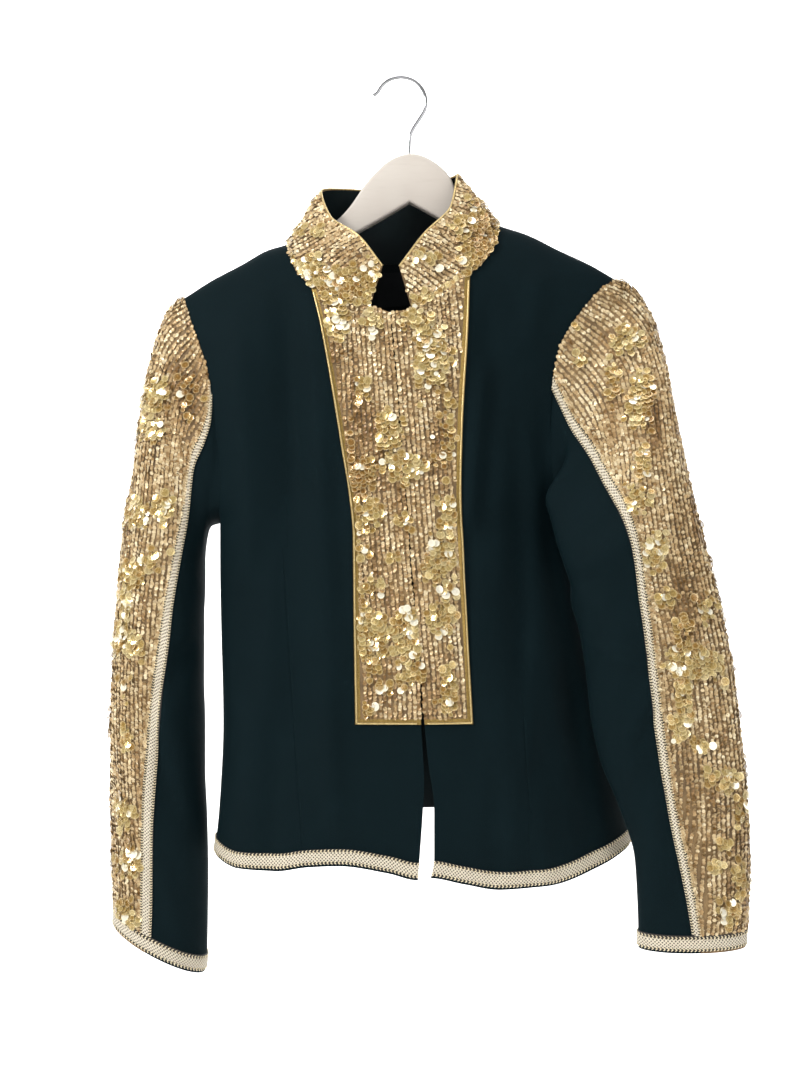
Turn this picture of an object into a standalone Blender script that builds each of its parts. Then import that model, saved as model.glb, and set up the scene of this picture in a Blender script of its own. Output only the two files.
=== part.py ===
"""A short stand-collar evening jacket, hung flat on a wooden hanger.

The cloth is worked out as one skin: fronts, back, collar and sleeves are grids of points that
share their seams. Each sewn piece is then cut from the skin and given its wall along the skin's
own outward directions, so neighbours meet edge to edge and overlays lie on what carries them.

Sizes are in millimetres and become metres in the meshes. +X is the viewer's right, -Y faces the
viewer and +Z is up. The origin is the inner top of the hook, where a rail carries the hanger.
"""
import math

import bmesh
import bpy
import numpy as np
from mathutils import Vector

MM = 0.001

# Cloth and trims, as lifts from the skin along its outward direction
CLOTH_WALL = 1.8
SEQUIN_PILE = 1.6
OVERLAY_GAP = 0.35
PLASTRON_WALL = 2.6
EDGING_WALL = 2.2
BRAID_WALL = 1.3
LABEL_WALL = 0.7
SEAM_GAP_SHARE = 0.2
CREASE_THINNEST = 0.4
CREASE_EASE = 1.3
PIPING_RADIUS = 1.4
PIPING_RISE = 2.0

# Widths
HEM_BRAID_WIDTH = 16.0
SLEEVE_BRAID_WIDTH = 12.0
EDGING_WIDTH = 5.0

# Heights of the jacket
HEM_Z = -740.0
PLASTRON_BOTTOM_Z = -599.0
UNDERARM_Z = -422.0
SEAM_RISE = 0.57
SHOULDER_ROUND = 130.0
BACK_HEM_LIFT = 27.0

# How the front turns into the side, as the power of a superellipse
ROUND_LEFT = 2.6
ROUND_RIGHT = 1.8

# Hanger
WOOD_THICKNESS = 12.0
WOOD_EDGE_ROUND = 2.0
WIRE_RADIUS = 1.75
WIRE_SIDES_RESOLUTION = 2
HOOK_RADIUS = 22.0
STEM_X = 7.6
STEM_FOOT_Z = -88.0
STEM_CLEARANCE = 0.3


def table(columns, rows):
    """A table with named columns: one array of numbers for each name."""
    values = np.array(rows, dtype=float)
    return {name: values[:, place] for place, name in enumerate(columns.split())}


# Body sections: where the sides are, how deep front and back are, and how far the sides sit back
BODY = table("z left right back_left back_right front back left_y right_y", [
    (-745, -177, 222, -177, 222, 66, 50, 0, 10),
    (-680, -171, 212, -171, 212, 64, 48, 0, 14),
    (-610, -168, 199, -168, 199, 61, 46, 0, 18),
    (-520, -170, 184, -170, 184, 62, 48, 0, 22),
    (-460, -171, 170, -171, 170, 62, 49, 0, 21),
    (-422, -171, 158, -171, 158, 62, 50, 0, 14),
    (-400, -181, 164, -186, 187, 61, 51, 0, 12),
    (-370, -188, 166, -194, 196, 60, 51, 0, 10),
    (-300, -206, 174, -212, 212, 57, 51, 0, 9),
    (-240, -226, 205, -228, 228, 54, 50, 0, 4),
    (-190, -242, 244, -242, 244, 52, 50, 0, 0),
])

# Centre-front edges and outer edges of the two plastrons
CENTRE_EDGE = {
    "left": table("z x", [(-745, 15), (-678, 20), (-657, 21), (-598, 18), (-555, 17), (-525, 14),
                          (-430, 6), (-330, -2), (-232, -10)]),
    "right": table("z x", [(-745, 26), (-722, 30), (-678, 30), (-640, 25), (-598, 21), (-555, 19),
                           (-525, 16), (-430, 8), (-330, 0), (-232, -8)]),
}
PLASTRON_EDGE = {
    "left": table("z x", [(-745, -33), (-601, -36), (-538, -37), (-434, -38), (-394, -42),
                          (-359, -48), (-318, -55), (-246, -68), (-210, -77)]),
    "right": table("z x", [(-745, 63), (-601, 60), (-512, 55), (-460, 52), (-384, 50), (-336, 51),
                           (-246, 56), (-198, 58)]),
}

# Armhole edges of the fronts and of the back
ARMHOLE = {
    ("left", "front"): table("z x", [(-422, -171), (-390, -166), (-355, -168), (-317, -172),
                                     (-278, -179), (-240, -193), (-208, -205)]),
    ("left", "back"): table("z x", [(-422, -171), (-390, -178), (-355, -184), (-300, -189),
                                    (-240, -197), (-208, -205)]),
    ("right", "front"): table("z x", [(-422, 158), (-405, 149), (-380, 143), (-340, 140),
                                      (-294, 142), (-260, 147), (-239, 158), (-221, 171),
                                      (-203, 187), (-191, 204)]),
    ("right", "back"): table("z x", [(-422, 158), (-390, 171), (-340, 183), (-300, 188),
                                     (-240, 195), (-191, 204)]),
}

# The shoulder line, drawn on over the neck, and the front and back necklines
SHOULDER = table("x z", [(-205, -208), (-178, -191), (-151, -177), (-126, -163), (-106, -157),
                         (-60, -132), (-9, -115), (50, -120), (91, -139), (119, -148), (150, -163),
                         (180, -177), (204, -191)])
FRONT_NECK = {
    "left": table("x z", [(-107, -157), (-104, -172), (-99, -185), (-92, -196), (-77, -209), (-50, -220),
                          (-24, -227), (-10, -232)]),
    "right": table("x z", [(-8, -232), (11, -228), (35, -215), (57, -199), (75, -184), (83, -172),
                           (88, -158), (91, -139)]),
}
BACK_NECK = table("x z", [(-107, -157), (-75, -164), (-40, -168), (-9, -167), (24, -163),
                          (57, -156), (91, -139)])

# The hem's edge along the fronts
HEM = table("x z", [(-177, -731), (-149, -738), (-115, -738), (-85, -733), (-54, -731), (-11, -737),
                    (15, -743), (26, -741), (57, -747), (90, -753), (136, -752), (182, -741),
                    (222, -727)])

# The collar's top edge: stations 0 to 1 run from the left front end to the left side, 1 to 2
# round the back and 2 to 3 from the right side to the right front end
COLLAR_TOP = table("station x y z", [
    (0.00, -17, -56, -191),
    (0.25, -38, -50, -163),
    (0.60, -66, -30, -139),
    (1.00, -76, -4, -108),
    (1.25, -52, 24, -99),
    (1.50, -12, 36, -97),
    (1.75, 30, 25, -93),
    (2.00, 54, -3, -92),
    (2.40, 47, -30, -129),
    (2.75, 20, -50, -162),
    (3.00, -1, -55, -191),
])

# Sleeve rings from the armhole to the cuff: the outer and inner points of each, its depth, and how
# far its cloth hangs over the front of the body
SLEEVE = {
    "left": table("outer_x outer_z inner_x inner_z middle_y front back over", [
        (-205, -208, -171, -422, 0, 38, 40, 0),
        (-219, -219, -180, -425, 1, 41, 41, 0),
        (-230, -247, -185, -440, 2, 42, 42, 0),
        (-238, -284, -187, -460, 3, 43, 42, 0),
        (-246, -335, -187, -484, 3, 43, 43, 0),
        (-254, -390, -188, -511, 3, 42, 44, 0),
        (-262, -447, -188, -540, 3, 42, 44, 0),
        (-267, -503, -188, -573, 3, 42, 43, 0),
        (-271, -560, -187, -612, 4, 41, 42, 0),
        (-274, -620, -187, -656, 4, 39, 40, 0),
        (-275, -680, -185, -704, 4, 37, 38, 0),
        (-274, -735, -184, -757, 4, 34, 35, 0),
        (-273, -786, -185, -831, 4, 31, 31, 0),
        (-273, -802, -187, -848, 4, 31, 31, 0),
    ]),
    "right": table("outer_x outer_z inner_x inner_z middle_y front back over", [
        (204, -191, 158, -422, 5, 38, 38, 0),
        (221, -199, 170, -419, 5, 38, 40, 0),
        (236, -226, 173, -432, -3, 41, 40, 34),
        (246, -270, 167, -455, -14, 41, 38, 29),
        (254, -325, 158, -476, -25, 41, 36, 16),
        (264, -385, 156, -494, -38, 35, 29, 4),
        (276, -440, 163, -522, -44, 30, 26, 0),
        (289, -498, 168, -556, -48, 27, 24, 0),
        (300, -556, 172, -596, -50, 25, 23, 0),
        (307, -612, 181, -638, -50, 24, 22, 0),
        (313, -668, 198, -680, -50, 23, 22, 0),
        (316, -724, 213, -730, -49, 22, 21, 0),
        (314, -790, 216, -792, -49, 21, 20, 0),
        (313, -806, 216, -808, -49, 21, 20, 0),
    ]),
}

# The middle line of each sleeve's front braid
BRAID_LINE = {
    "left": table("z x", [(-850, -238), (-766, -236), (-676, -233), (-630, -229), (-584, -225),
                          (-539, -219), (-493, -213), (-448, -205), (-415, -199), (-387, -195),
                          (-368, -192), (-342, -181), (-323, -176), (-300, -175)]),
    "right": table("z x", [(-830, 271), (-768, 262), (-732, 255), (-696, 247), (-648, 238),
                           (-600, 231), (-552, 225), (-504, 219), (-444, 210), (-413, 201),
                           (-384, 188), (-357, 176), (-330, 160), (-294, 144)]),
}

# Large soft folds. Each runs from its top to its bottom point; height is towards the viewer
FRONT_FOLDS = table("top_x top_z bottom_x bottom_z width height", [
    (-108, -235, -92, -640, 18, -5),
    (-72, -300, -62, -690, 14, 3),
    (-140, -300, -128, -700, 20, 3),
    (97, -262, 118, -600, 17, -11),
    (78, -275, 62, -430, 9, 6),
    (128, -300, 160, -640, 16, -5),
    (96, -560, 100, -740, 22, 6),
])
BACK_FOLDS = table("top_x top_z bottom_x bottom_z width height", [
    (-104, -300, -92, -690, 22, -5),
    (-55, -420, -48, -740, 20, 4),
    (20, -260, 14, -700, 26, -4),
    (84, -330, 104, -740, 22, 5),
    (128, -260, 142, -660, 22, -5),
])

# The wooden hanger's outline: its upper edge from the left end to the right, then its lower edge
WOOD_TOP = table("x z", [(-187, -205), (-180, -198), (-151, -184), (-108, -164), (-85, -152), (-63, -137),
                         (-49, -123), (-33, -100), (-20, -86), (-8, -77), (8, -72), (23, -75), (37, -84),
                         (47, -95), (53, -111), (61, -129), (72, -142), (88, -150), (119, -155), (150, -170),
                         (176, -183), (184, -190)])
WOOD_BOTTOM = table("x z", [(186, -200), (180, -206), (150, -192), (119, -177), (90, -163), (62, -149),
                            (37, -134), (20, -124.5), (8, -118), (-3, -125), (-20, -135), (-45, -149),
                            (-76, -169), (-108, -188), (-150, -207), (-181, -219), (-188, -214)])

# Grid rows of the body: a height below the underarm, then the share of the armhole's rise above it
LOW_ROWS = (HEM_Z, HEM_Z + HEM_BRAID_WIDTH, -694, -662, -632, PLASTRON_BOTTOM_Z - EDGING_WIDTH,
            PLASTRON_BOTTOM_Z, -566, -532, -498, -467, -442)
BRAID_RISE = 0.028
YOKE_SHARE = 0.84
HIGH_ROWS = (0, 0.12, 0.22, 0.32, 0.43, SEAM_RISE - BRAID_RISE, SEAM_RISE, SEAM_RISE + BRAID_RISE,
             0.72, YOKE_SHARE, 0.895, 0.935, 0.97, 1)
BODY_ROWS = [(height, 0.0) for height in LOW_ROWS] + [(UNDERARM_Z, share) for share in HIGH_ROWS]
EDGING_ROW = LOW_ROWS.index(PLASTRON_BOTTOM_Z - EDGING_WIDTH)
PLASTRON_ROW = LOW_ROWS.index(PLASTRON_BOTTOM_Z)
YOKE_ROW = len(LOW_ROWS) + HIGH_ROWS.index(YOKE_SHARE)

# Grid columns of a front: 0 to 1 is the plastron, 1 to 2 its edging, 2 to 3 the plain cloth
COLLAR_END = 0.27
NECK_COLUMN = 2.1
PLASTRON_COLUMNS = (0, COLLAR_END, 0.48, 0.74)
SHOULDER_COLUMNS = (NECK_COLUMN, 2.24, 2.38, 2.52, 2.66, 2.79, 2.9, 2.965, 3)
FRONT_COLUMNS = PLASTRON_COLUMNS + (1, 2) + SHOULDER_COLUMNS
EDGING_COLUMN = FRONT_COLUMNS.index(1)
BACK_NECK_X = (-88, -57, -25, -6, 13, 45, 74)
LABEL_COLUMNS = range(11, 13)
LABEL_ROWS = range(21, 24)

COLLAR_ROWS = (0, 0.22, 0.5, 0.78, 1)
SLEEVE_STATIONS = (0, 1, 2, 3, 4, 5, 6, 7, 8, 9, 10, 11, 12, 13)
# The station by which a sleeve has left the armhole's shape for its own rings
CAP_STATIONS = 3.4

# Names of the skin's grids, numbered for the face layer
PANELS = ("front_left", "front_right", "back", "collar", "upper_left", "upper_right",
          "under_left", "under_right")

COLOURS = {
    "navy cloth": ((0.008, 0.017, 0.026), 0.85, 0.0),
    "gold sequins": ((0.52, 0.33, 0.13), 0.35, 0.5),
    "gold cord": ((0.47, 0.25, 0.05), 0.35, 0.9),
    "cream braid": ((0.56, 0.47, 0.33), 0.7, 0.1),
    "plain label": ((0.004, 0.005, 0.006), 0.6, 0.0),
    "white wood": ((0.74, 0.69, 0.61), 0.45, 0.0),
    "chrome wire": ((0.55, 0.55, 0.56), 0.15, 1.0),
}


def smooth(curve, across, along, place):
    """Read a table as a smooth curve that never swings past its points."""
    order = np.argsort(curve[across])
    xs, ys = curve[across][order], curve[along][order]
    steps = np.diff(xs)
    rises = np.diff(ys) / steps
    slopes = np.concatenate(([rises[0]], np.zeros(len(xs) - 2), [rises[-1]]))
    same_way = rises[:-1] * rises[1:] > 0
    both = np.where(same_way, rises[:-1] + rises[1:], 1.0)
    slopes[1:-1] = np.where(same_way, 2 * rises[:-1] * rises[1:] / both, 0.0)
    place = np.clip(place, xs[0], xs[-1])
    low = np.clip(np.searchsorted(xs, place) - 1, 0, len(xs) - 2)
    share = (place - xs[low]) / steps[low]
    start = ys[low] * (1 + 2 * share) * (1 - share) ** 2
    end = ys[low + 1] * share ** 2 * (3 - 2 * share)
    leave = slopes[low] * share * (1 - share) ** 2
    arrive = slopes[low + 1] * share ** 2 * (share - 1)
    return start + end + steps[low] * (leave + arrive)


def ease(share):
    """Go smoothly from 0 to 1."""
    share = np.clip(share, 0.0, 1.0)
    return share * share * (3 - 2 * share)


def fold_height(folds, x, z):
    """The sum of the long soft folds at places on the cloth."""
    total = 0.0
    for top_x, top_z, bottom_x, bottom_z, width, height in zip(*folds.values()):
        along = (top_z - z) / (top_z - bottom_z)
        middle = top_x + (bottom_x - top_x) * np.clip(along, -0.2, 1.2)
        fade = ease((along + 0.15) / 0.35) * ease((1.15 - along) / 0.35)
        total = total + height * fade * np.exp(-((x - middle) / width) ** 2)
    return total


def body_y(x, z, face):
    """How far the front or the back of the body stands from the hanger's plane."""
    widest = "" if face == "front" else "back_"
    left, right = smooth(BODY, "z", widest + "left", z), smooth(BODY, "z", widest + "right", z)
    middle, half = (left + right) / 2, (right - left) / 2
    across = np.clip((x - middle) / half, -1, 1)
    power = np.where(across < 0, ROUND_LEFT, ROUND_RIGHT)
    side = (1 - abs(across) ** power) ** (1 / power)
    drop = np.clip((smooth(SHOULDER, "x", "z", x) - z) / SHOULDER_ROUND, 0, 1)
    top = np.sqrt(1 - (1 - drop) ** 2)
    sides_y = np.where(across < 0, smooth(BODY, "z", "left_y", z), smooth(BODY, "z", "right_y", z))
    seam_y = sides_y * abs(across) ** 3
    folds = fold_height(FRONT_FOLDS if face == "front" else BACK_FOLDS, x, z)
    depth = smooth(BODY, "z", face, z) * side * top + folds * np.minimum(1, side * top * 2)
    return seam_y - depth if face == "front" else seam_y + depth


def hem_drop(x, height):
    """How far the curved hem pulls a row away from its level, fading up to the plastron."""
    return (smooth(HEM, "x", "z", x) - HEM_Z) * ease((PLASTRON_BOTTOM_Z - height) / (PLASTRON_BOTTOM_Z - HEM_Z))


def armhole_place(side, face, share):
    """A point of an armhole's edge, by its share of the way from the underarm to the shoulder."""
    tip = ARMHOLE[side, face]["z"][-1]
    z = UNDERARM_Z + share * (tip - UNDERARM_Z)
    return smooth(ARMHOLE[side, face], "z", "x", z), z


def front_x(side, height, share, column):
    """The sideways place of a column in a row of a front, up to the yoke line."""
    edges = []
    for edge in (CENTRE_EDGE, PLASTRON_EDGE):
        level = height + share / YOKE_SHARE * (edge[side]["z"][-1] - height)
        edges.append(smooth(edge[side], "z", "x", level))
    edges.append(edges[1] + (EDGING_WIDTH if side == "right" else -EDGING_WIDTH))
    at_armhole = armhole_place(side, "front", share)[0]
    edges.append(np.where(share > 0, at_armhole, smooth(BODY, "z", side, height)))
    steps = [(edges[k + 1] - edges[k]) * np.clip(column - k, 0, 1) for k in range(3)]
    return edges[0] + sum(steps)


def yoke_z(side, column):
    """The height of the yoke line: the low neckline, then straight across to the armhole."""
    inner_x = front_x(side, UNDERARM_Z, YOKE_SHARE, np.minimum(column, NECK_COLUMN))
    inner_z = smooth(FRONT_NECK[side], "x", "z", inner_x)
    share = np.maximum(0, (column - NECK_COLUMN) / (3 - NECK_COLUMN))
    return inner_z + share * (armhole_place(side, "front", YOKE_SHARE)[1] - inner_z)


def front_grid(side, rows, columns):
    """The points of one front below the yoke line."""
    height, share = (np.array(part)[:, None] for part in zip(*rows))
    column = np.array(columns)[None, :]
    x = front_x(side, height, share, column)
    z = height + share / YOKE_SHARE * (yoke_z(side, column) - height)
    z = z + np.where(share == 0, hem_drop(x, height), 0)
    return np.stack((x, body_y(x, z, "front"), z), axis=-1)


def shoulder_place(side, column):
    """A point of the shoulder seam, from the side of the neck to the armhole."""
    end = 0 if side == "left" else -1
    neck_x, tip_x = FRONT_NECK[side]["x"][end], SHOULDER["x"][end]
    x = neck_x + (column - NECK_COLUMN) / (3 - NECK_COLUMN) * (tip_x - neck_x)
    return x, smooth(SHOULDER, "x", "z", x)


def yoke_grid(side, shares, columns):
    """The points of one front from the yoke line up to the shoulder seam, beside the neck."""
    share, column = np.array(shares)[:, None], np.array(columns)[None, :]
    up = (share - YOKE_SHARE) / (1 - YOKE_SHARE)
    across = (column - NECK_COLUMN) / (3 - NECK_COLUMN)
    neck_x = front_x(side, UNDERARM_Z, YOKE_SHARE, NECK_COLUMN)
    neck_low = smooth(FRONT_NECK[side], "x", "z", neck_x)
    neck_z = neck_low + up * (shoulder_place(side, NECK_COLUMN)[1] - neck_low)
    apart = neck_x - smooth(FRONT_NECK[side], "z", "x", neck_low)
    inner_x = smooth(FRONT_NECK[side], "z", "x", neck_z) + apart * (1 - up)
    outer_x, outer_z = armhole_place(side, "front", share)
    tip_low, tip_high = yoke_z(side, 3), shoulder_place(side, 3)[1]
    edge_bend = outer_z - tip_low - up * (tip_high - tip_low)
    top_x, top_z = shoulder_place(side, column)
    low_z = yoke_z(side, column)
    z = low_z + up * (top_z - low_z) + across * edge_bend
    x = np.where(up == 1, top_x, inner_x + across * (outer_x - inner_x))
    return np.stack((x, body_y(x, z, "front"), z), axis=-1)


def back_top(columns, neck_xs):
    """The top edge of the back: left shoulder, neck, right shoulder."""
    left = [shoulder_place("left", column) for column in reversed(columns)]
    neck = [(x, smooth(BACK_NECK, "x", "z", x)) for x in neck_xs]
    right = [shoulder_place("right", column) for column in columns]
    return np.array(left + neck + right)


def back_grid(rows, columns, neck_xs):
    """The points of the back, whose shoulder columns are the fronts' own."""
    top = back_top(columns, neck_xs)
    way = ((top[:, 0] - top[0, 0]) / (top[-1, 0] - top[0, 0]))[None, :]
    height, share = (np.array(part)[:, None] for part in zip(*rows))
    sides = []
    for side in ("left", "right"):
        low_x = smooth(BODY, "z", side, height)
        arm_x, arm_z = armhole_place(side, "back", share)
        low_z = height + hem_drop(low_x, height)
        sides.append((np.where(share > 0, arm_x, low_x), np.where(share > 0, arm_z, low_z)))
    (left_x, left_z), (right_x, right_z) = sides
    fade = ease((PLASTRON_BOTTOM_Z - height) / (PLASTRON_BOTTOM_Z - HEM_Z))
    x = left_x + way * (right_x - left_x)
    low_z = left_z + way * (right_z - left_z) + BACK_HEM_LIFT * fade * (1 - (2 * way - 1) ** 2)
    z = np.where(share > 0, height + share * (top[:, 1][None, :] - height), low_z)
    return np.stack((x, body_y(x, z, "back"), z), axis=-1)


def collar_grid(base, corners, rows):
    """The collar band between the neckline's points and its top edge."""
    lengths = np.concatenate(([0], np.cumsum(np.linalg.norm(np.diff(base, axis=0), axis=1))))
    stations = np.interp(lengths, [lengths[k] for k in corners], (0, 1, 2, 3))
    top = np.array([[smooth(COLLAR_TOP, "station", axis, s) for axis in "xyz"] for s in stations])
    return np.array([base + (top - base) * share for share in rows])


def ring_place(row, angle):
    """A point of a sleeve ring: angle 0 is the outer point, and it turns over the front."""
    outer_x, outer_z, inner_x, inner_z, middle_y, front, back = row
    across = (1 + math.cos(angle)) / 2
    depth = -front if math.sin(angle) > 0 else back
    x = inner_x + (outer_x - inner_x) * across
    z = inner_z + (outer_z - inner_z) * across
    return np.array((x, middle_y + depth * abs(math.sin(angle)), z))


def braid_angle(side, row):
    """The angle at which the braid's middle line crosses a ring, found by halving."""
    low, high = 0.05, math.pi - 0.05
    outwards = 1 if side == "right" else -1
    for _ in range(40):
        middle = (low + high) / 2
        x, _, z = ring_place(row, middle)
        if outwards * (x - smooth(BRAID_LINE[side], "z", "x", z)) > 0:
            low = middle
        else:
            high = middle
    return (low + high) / 2


def sleeve_angles(side, row, faces, rises):
    """The angle of each column on a ring: even between the seams, a braid's half width beside them."""
    seam = braid_angle(side, row)
    speed = np.linalg.norm(ring_place(row, seam + 0.01) - ring_place(row, seam - 0.01)) / 0.02
    beside = SLEEVE_BRAID_WIDTH / 2 / speed
    knots = (0, SEAM_RISE - BRAID_RISE, SEAM_RISE, SEAM_RISE + BRAID_RISE, 1)
    angles = np.interp(rises, knots, (math.pi, seam + beside, seam, seam - beside, 0))
    return np.where(faces == "front", angles, -angles)


def seam_weights(side, faces, rises):
    """How far each column goes along with the front seam, and with the cloth hung below it."""
    front = faces == "front"
    nearness = np.minimum(rises / (SEAM_RISE - BRAID_RISE), (1 - rises) / (1 - SEAM_RISE - BRAID_RISE))
    hung = np.sin(np.pi * np.clip(rises / SEAM_RISE, 0, 1)) ** 2
    return ease(np.minimum(nearness, 1)) * front, hung * front * (1 if side == "left" else -1)


def sleeve_grid(side, armhole, faces, rises, stations):
    """The points of one sleeve, from the armhole's own points down to the cuff."""
    columns = SLEEVE[side]
    first = [values[0] for values in columns.values()][:-1]
    outer_z, inner_z = first[1], first[3]
    level = np.clip((armhole[:, 2] - inner_z) / (outer_z - inner_z) * 2 - 1, -1, 1)
    start = np.where(faces == "front", np.arccos(level), -np.arccos(level))
    apart = armhole - np.array([ring_place(first, angle) for angle in start])
    numbered = {"station": np.arange(len(columns["front"]), dtype=float), **columns}
    seam = int(np.argmin(abs(rises - SEAM_RISE)))
    near_seam, below_seam = seam_weights(side, faces, rises)
    cap_row = [float(smooth(numbered, "station", name, CAP_STATIONS)) for name in columns][:-1]
    cap_z = ring_place(cap_row, braid_angle(side, cap_row))[2]
    line_start = armhole[seam, 0] - smooth(BRAID_LINE[side], "z", "x", armhole[seam, 2])
    points = np.zeros((len(stations), len(rises), 3))
    for i, station in enumerate(stations):
        *row, over = [float(smooth(numbered, "station", name, station)) for name in columns]
        share = min(station / CAP_STATIONS, 1)
        angles = start + (sleeve_angles(side, row, faces, rises) - start) * ease(share)
        for k, angle in enumerate(angles):
            points[i, k] = ring_place(row, angle) + apart[k] * (1 - share) ** 2
        if share < 1:
            seam_z = armhole[seam, 2] + (cap_z - armhole[seam, 2]) * share
            seam_x = smooth(BRAID_LINE[side], "z", "x", seam_z) + line_start * (1 - share)
            points[i, :, 0] += near_seam * (seam_x - points[i, seam, 0])
            points[i, :, 2] += near_seam * (seam_z - points[i, seam, 2])
        points[i, :, 0] += over * below_seam
    return points


def armhole_loop(front, yoke, back, first_row, side):
    """The armhole's points: up the front's outer edge and down the back's."""
    edge = 0 if side == "left" else -1
    return np.concatenate((front[first_row:, -1], yoke[1:, -1], back[first_row:, edge][::-1][1:]))


def add_grid(skin, points, panel, piles, flip, first=(0, 0)):
    """Add one grid of points to the skin, with its faces named and its pile heights kept."""
    rows, columns = points.shape[0] - 1, points.shape[1] - 1
    made = bmesh.ops.create_grid(skin, x_segments=columns, y_segments=rows, size=1.0)["verts"]
    pile = skin.verts.layers.float["pile"]
    places = {}
    for vert in made:
        i, j = round((vert.co.y + 1) / 2 * rows), round((vert.co.x + 1) / 2 * columns)
        vert.co = Vector(points[i, j])
        vert[pile] = piles[i, j]
        places[vert] = (i, j)
    faces = list({face for vert in made for face in vert.link_faces})
    layers = [skin.faces.layers.int[name] for name in ("panel", "row", "column")]
    for face in faces:
        i = first[0] + min(places[vert][0] for vert in face.verts)
        j = first[1] + min(places[vert][1] for vert in face.verts)
        for layer, value in zip(layers, (PANELS.index(panel), i, j)):
            face[layer] = value
    if flip:
        bmesh.ops.reverse_faces(skin, faces=faces)


def sleeve_pile(grid, edges):
    """Sequin pile on a sleeve grid: none under the seam braids and the cuff braid."""
    pile = np.full(grid.shape[:2], SEQUIN_PILE)
    pile[-2:] = 0
    for column in edges:
        pile[:, column] = 0
    return pile


def share_directions(skin):
    """Keep one outward direction at each vertex, halfway between the body, sleeve or collar there."""
    out = skin.verts.layers.float_vector.new("out")
    panel = skin.faces.layers.int["panel"]
    for vert in skin.verts:
        groups = {}
        for loop in vert.link_loops:
            group = PANELS[loop.face[panel]].split("_")[0].replace("back", "front").replace("upper", "under")
            groups[group] = groups.get(group, Vector()) + loop.face.normal * loop.calc_angle()
        ways = [way.normalized() for way in groups.values()]
        direction = sum(ways, Vector()).normalized()
        sharpest = min(way.dot(direction) for way in ways)
        vert[out] = direction * min(1.0, max(CREASE_THINNEST, sharpest * CREASE_EASE))


def build_skin():
    """All the cloth as one surface, with outward directions shared across its seams."""
    skin = bmesh.new()
    skin.verts.layers.float.new("pile")
    for name in ("panel", "row", "column"):
        skin.faces.layers.int.new(name)
    back = back_grid(BODY_ROWS, SHOULDER_COLUMNS, BACK_NECK_X)
    add_grid(skin, back, "back", np.zeros(back.shape[:2]), True)
    neck_column = FRONT_COLUMNS.index(NECK_COLUMN)
    yoke_shares = HIGH_ROWS[HIGH_ROWS.index(YOKE_SHARE):]
    fronts, yokes, necks = {}, {}, {}
    for side in ("left", "right"):
        fronts[side] = front_grid(side, BODY_ROWS[:YOKE_ROW + 1], FRONT_COLUMNS)
        yokes[side] = yoke_grid(side, yoke_shares, SHOULDER_COLUMNS)
        add_grid(skin, fronts[side], "front_" + side, np.zeros(fronts[side].shape[:2]), side == "left")
        add_grid(skin, yokes[side], "front_" + side, np.zeros(yokes[side].shape[:2]), side == "left",
                 (YOKE_ROW, neck_column))
        start = FRONT_COLUMNS.index(COLLAR_END)
        necks[side] = np.concatenate((fronts[side][-1, start:neck_column], yokes[side][:, 0]))

    back_base = back[-1, len(SHOULDER_COLUMNS):len(SHOULDER_COLUMNS) + len(BACK_NECK_X)]
    base = np.concatenate((necks["left"], back_base, necks["right"][::-1]))
    corners = (0, len(necks["left"]) - 1, len(necks["left"]) + len(back_base), len(base) - 1)
    collar = collar_grid(base, corners, COLLAR_ROWS)
    collar_pile = np.full(collar.shape[:2], SEQUIN_PILE)
    collar_pile[0] = 0
    add_grid(skin, collar, "collar", collar_pile, True)

    low = len(LOW_ROWS)
    faces = np.array(["front"] * len(HIGH_ROWS) + ["back"] * (len(HIGH_ROWS) - 1))
    rises = np.array(HIGH_ROWS + HIGH_ROWS[::-1][1:])
    seam = HIGH_ROWS.index(SEAM_RISE)
    last = len(rises) - 1
    for side in ("left", "right"):
        loop = armhole_loop(fronts[side], yokes[side], back, low, side)
        sleeve = sleeve_grid(side, loop, faces, rises, SLEEVE_STATIONS)
        upper = sleeve[:, seam:last - seam + 1]
        under = np.concatenate((sleeve[:, last - seam:], sleeve[:, 1:seam + 1]), axis=1)
        add_grid(skin, upper, "upper_" + side, sleeve_pile(upper, (0, 1, -2, -1)), side == "right")
        add_grid(skin, under, "under_" + side, np.zeros(under.shape[:2]), side == "right")
    bmesh.ops.remove_doubles(skin, verts=skin.verts, dist=0.01)
    bmesh.ops.triangulate(skin, faces=skin.faces)
    skin.normal_update()
    share_directions(skin)
    return skin, collar


def pull_edges_in(mesh):
    """Draw the outline of a piece in by half a seam gap."""
    moves = []
    for vert in mesh.verts:
        if vert.is_boundary:
            inner = [edge for edge in vert.link_edges if not edge.is_boundary]
            ways = [(edge.other_vert(vert).co - vert.co).normalized() for edge in inner or vert.link_edges]
            moves.append((vert, sum(ways, Vector()).normalized() * SEAM_GAP_SHARE))
    for vert, move in moves:
        vert.co += move


def cut_piece(skin, name, chosen, inner, outer, colour):
    """One sewn piece: the chosen faces of the skin as a closed wall between two lifts."""
    mesh = skin.copy()
    layers = [mesh.faces.layers.int[layer] for layer in ("panel", "row", "column")]
    spare = [f for f in mesh.faces if not chosen(*(f[layer] for layer in layers))]
    bmesh.ops.delete(mesh, geom=spare, context="FACES")
    pull_edges_in(mesh)
    out = mesh.verts.layers.float_vector["out"]
    pile = mesh.verts.layers.float["pile"]
    for vert in mesh.verts:
        vert.co += Vector(vert[out]) * inner
    raised = bmesh.ops.extrude_face_region(mesh, geom=mesh.faces[:], use_keep_orig=True)["geom"]
    for vert in raised:
        if isinstance(vert, bmesh.types.BMVert):
            vert.co += Vector(vert[out]) * (outer + vert[pile] * (inner < 0) - inner)
    bmesh.ops.triangulate(mesh, faces=mesh.faces, quad_method="SHORT_EDGE")
    bmesh.ops.recalc_face_normals(mesh, faces=mesh.faces)
    bmesh.ops.scale(mesh, vec=(MM, MM, MM), verts=mesh.verts)
    return add_object(name, mesh, colour)


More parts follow.
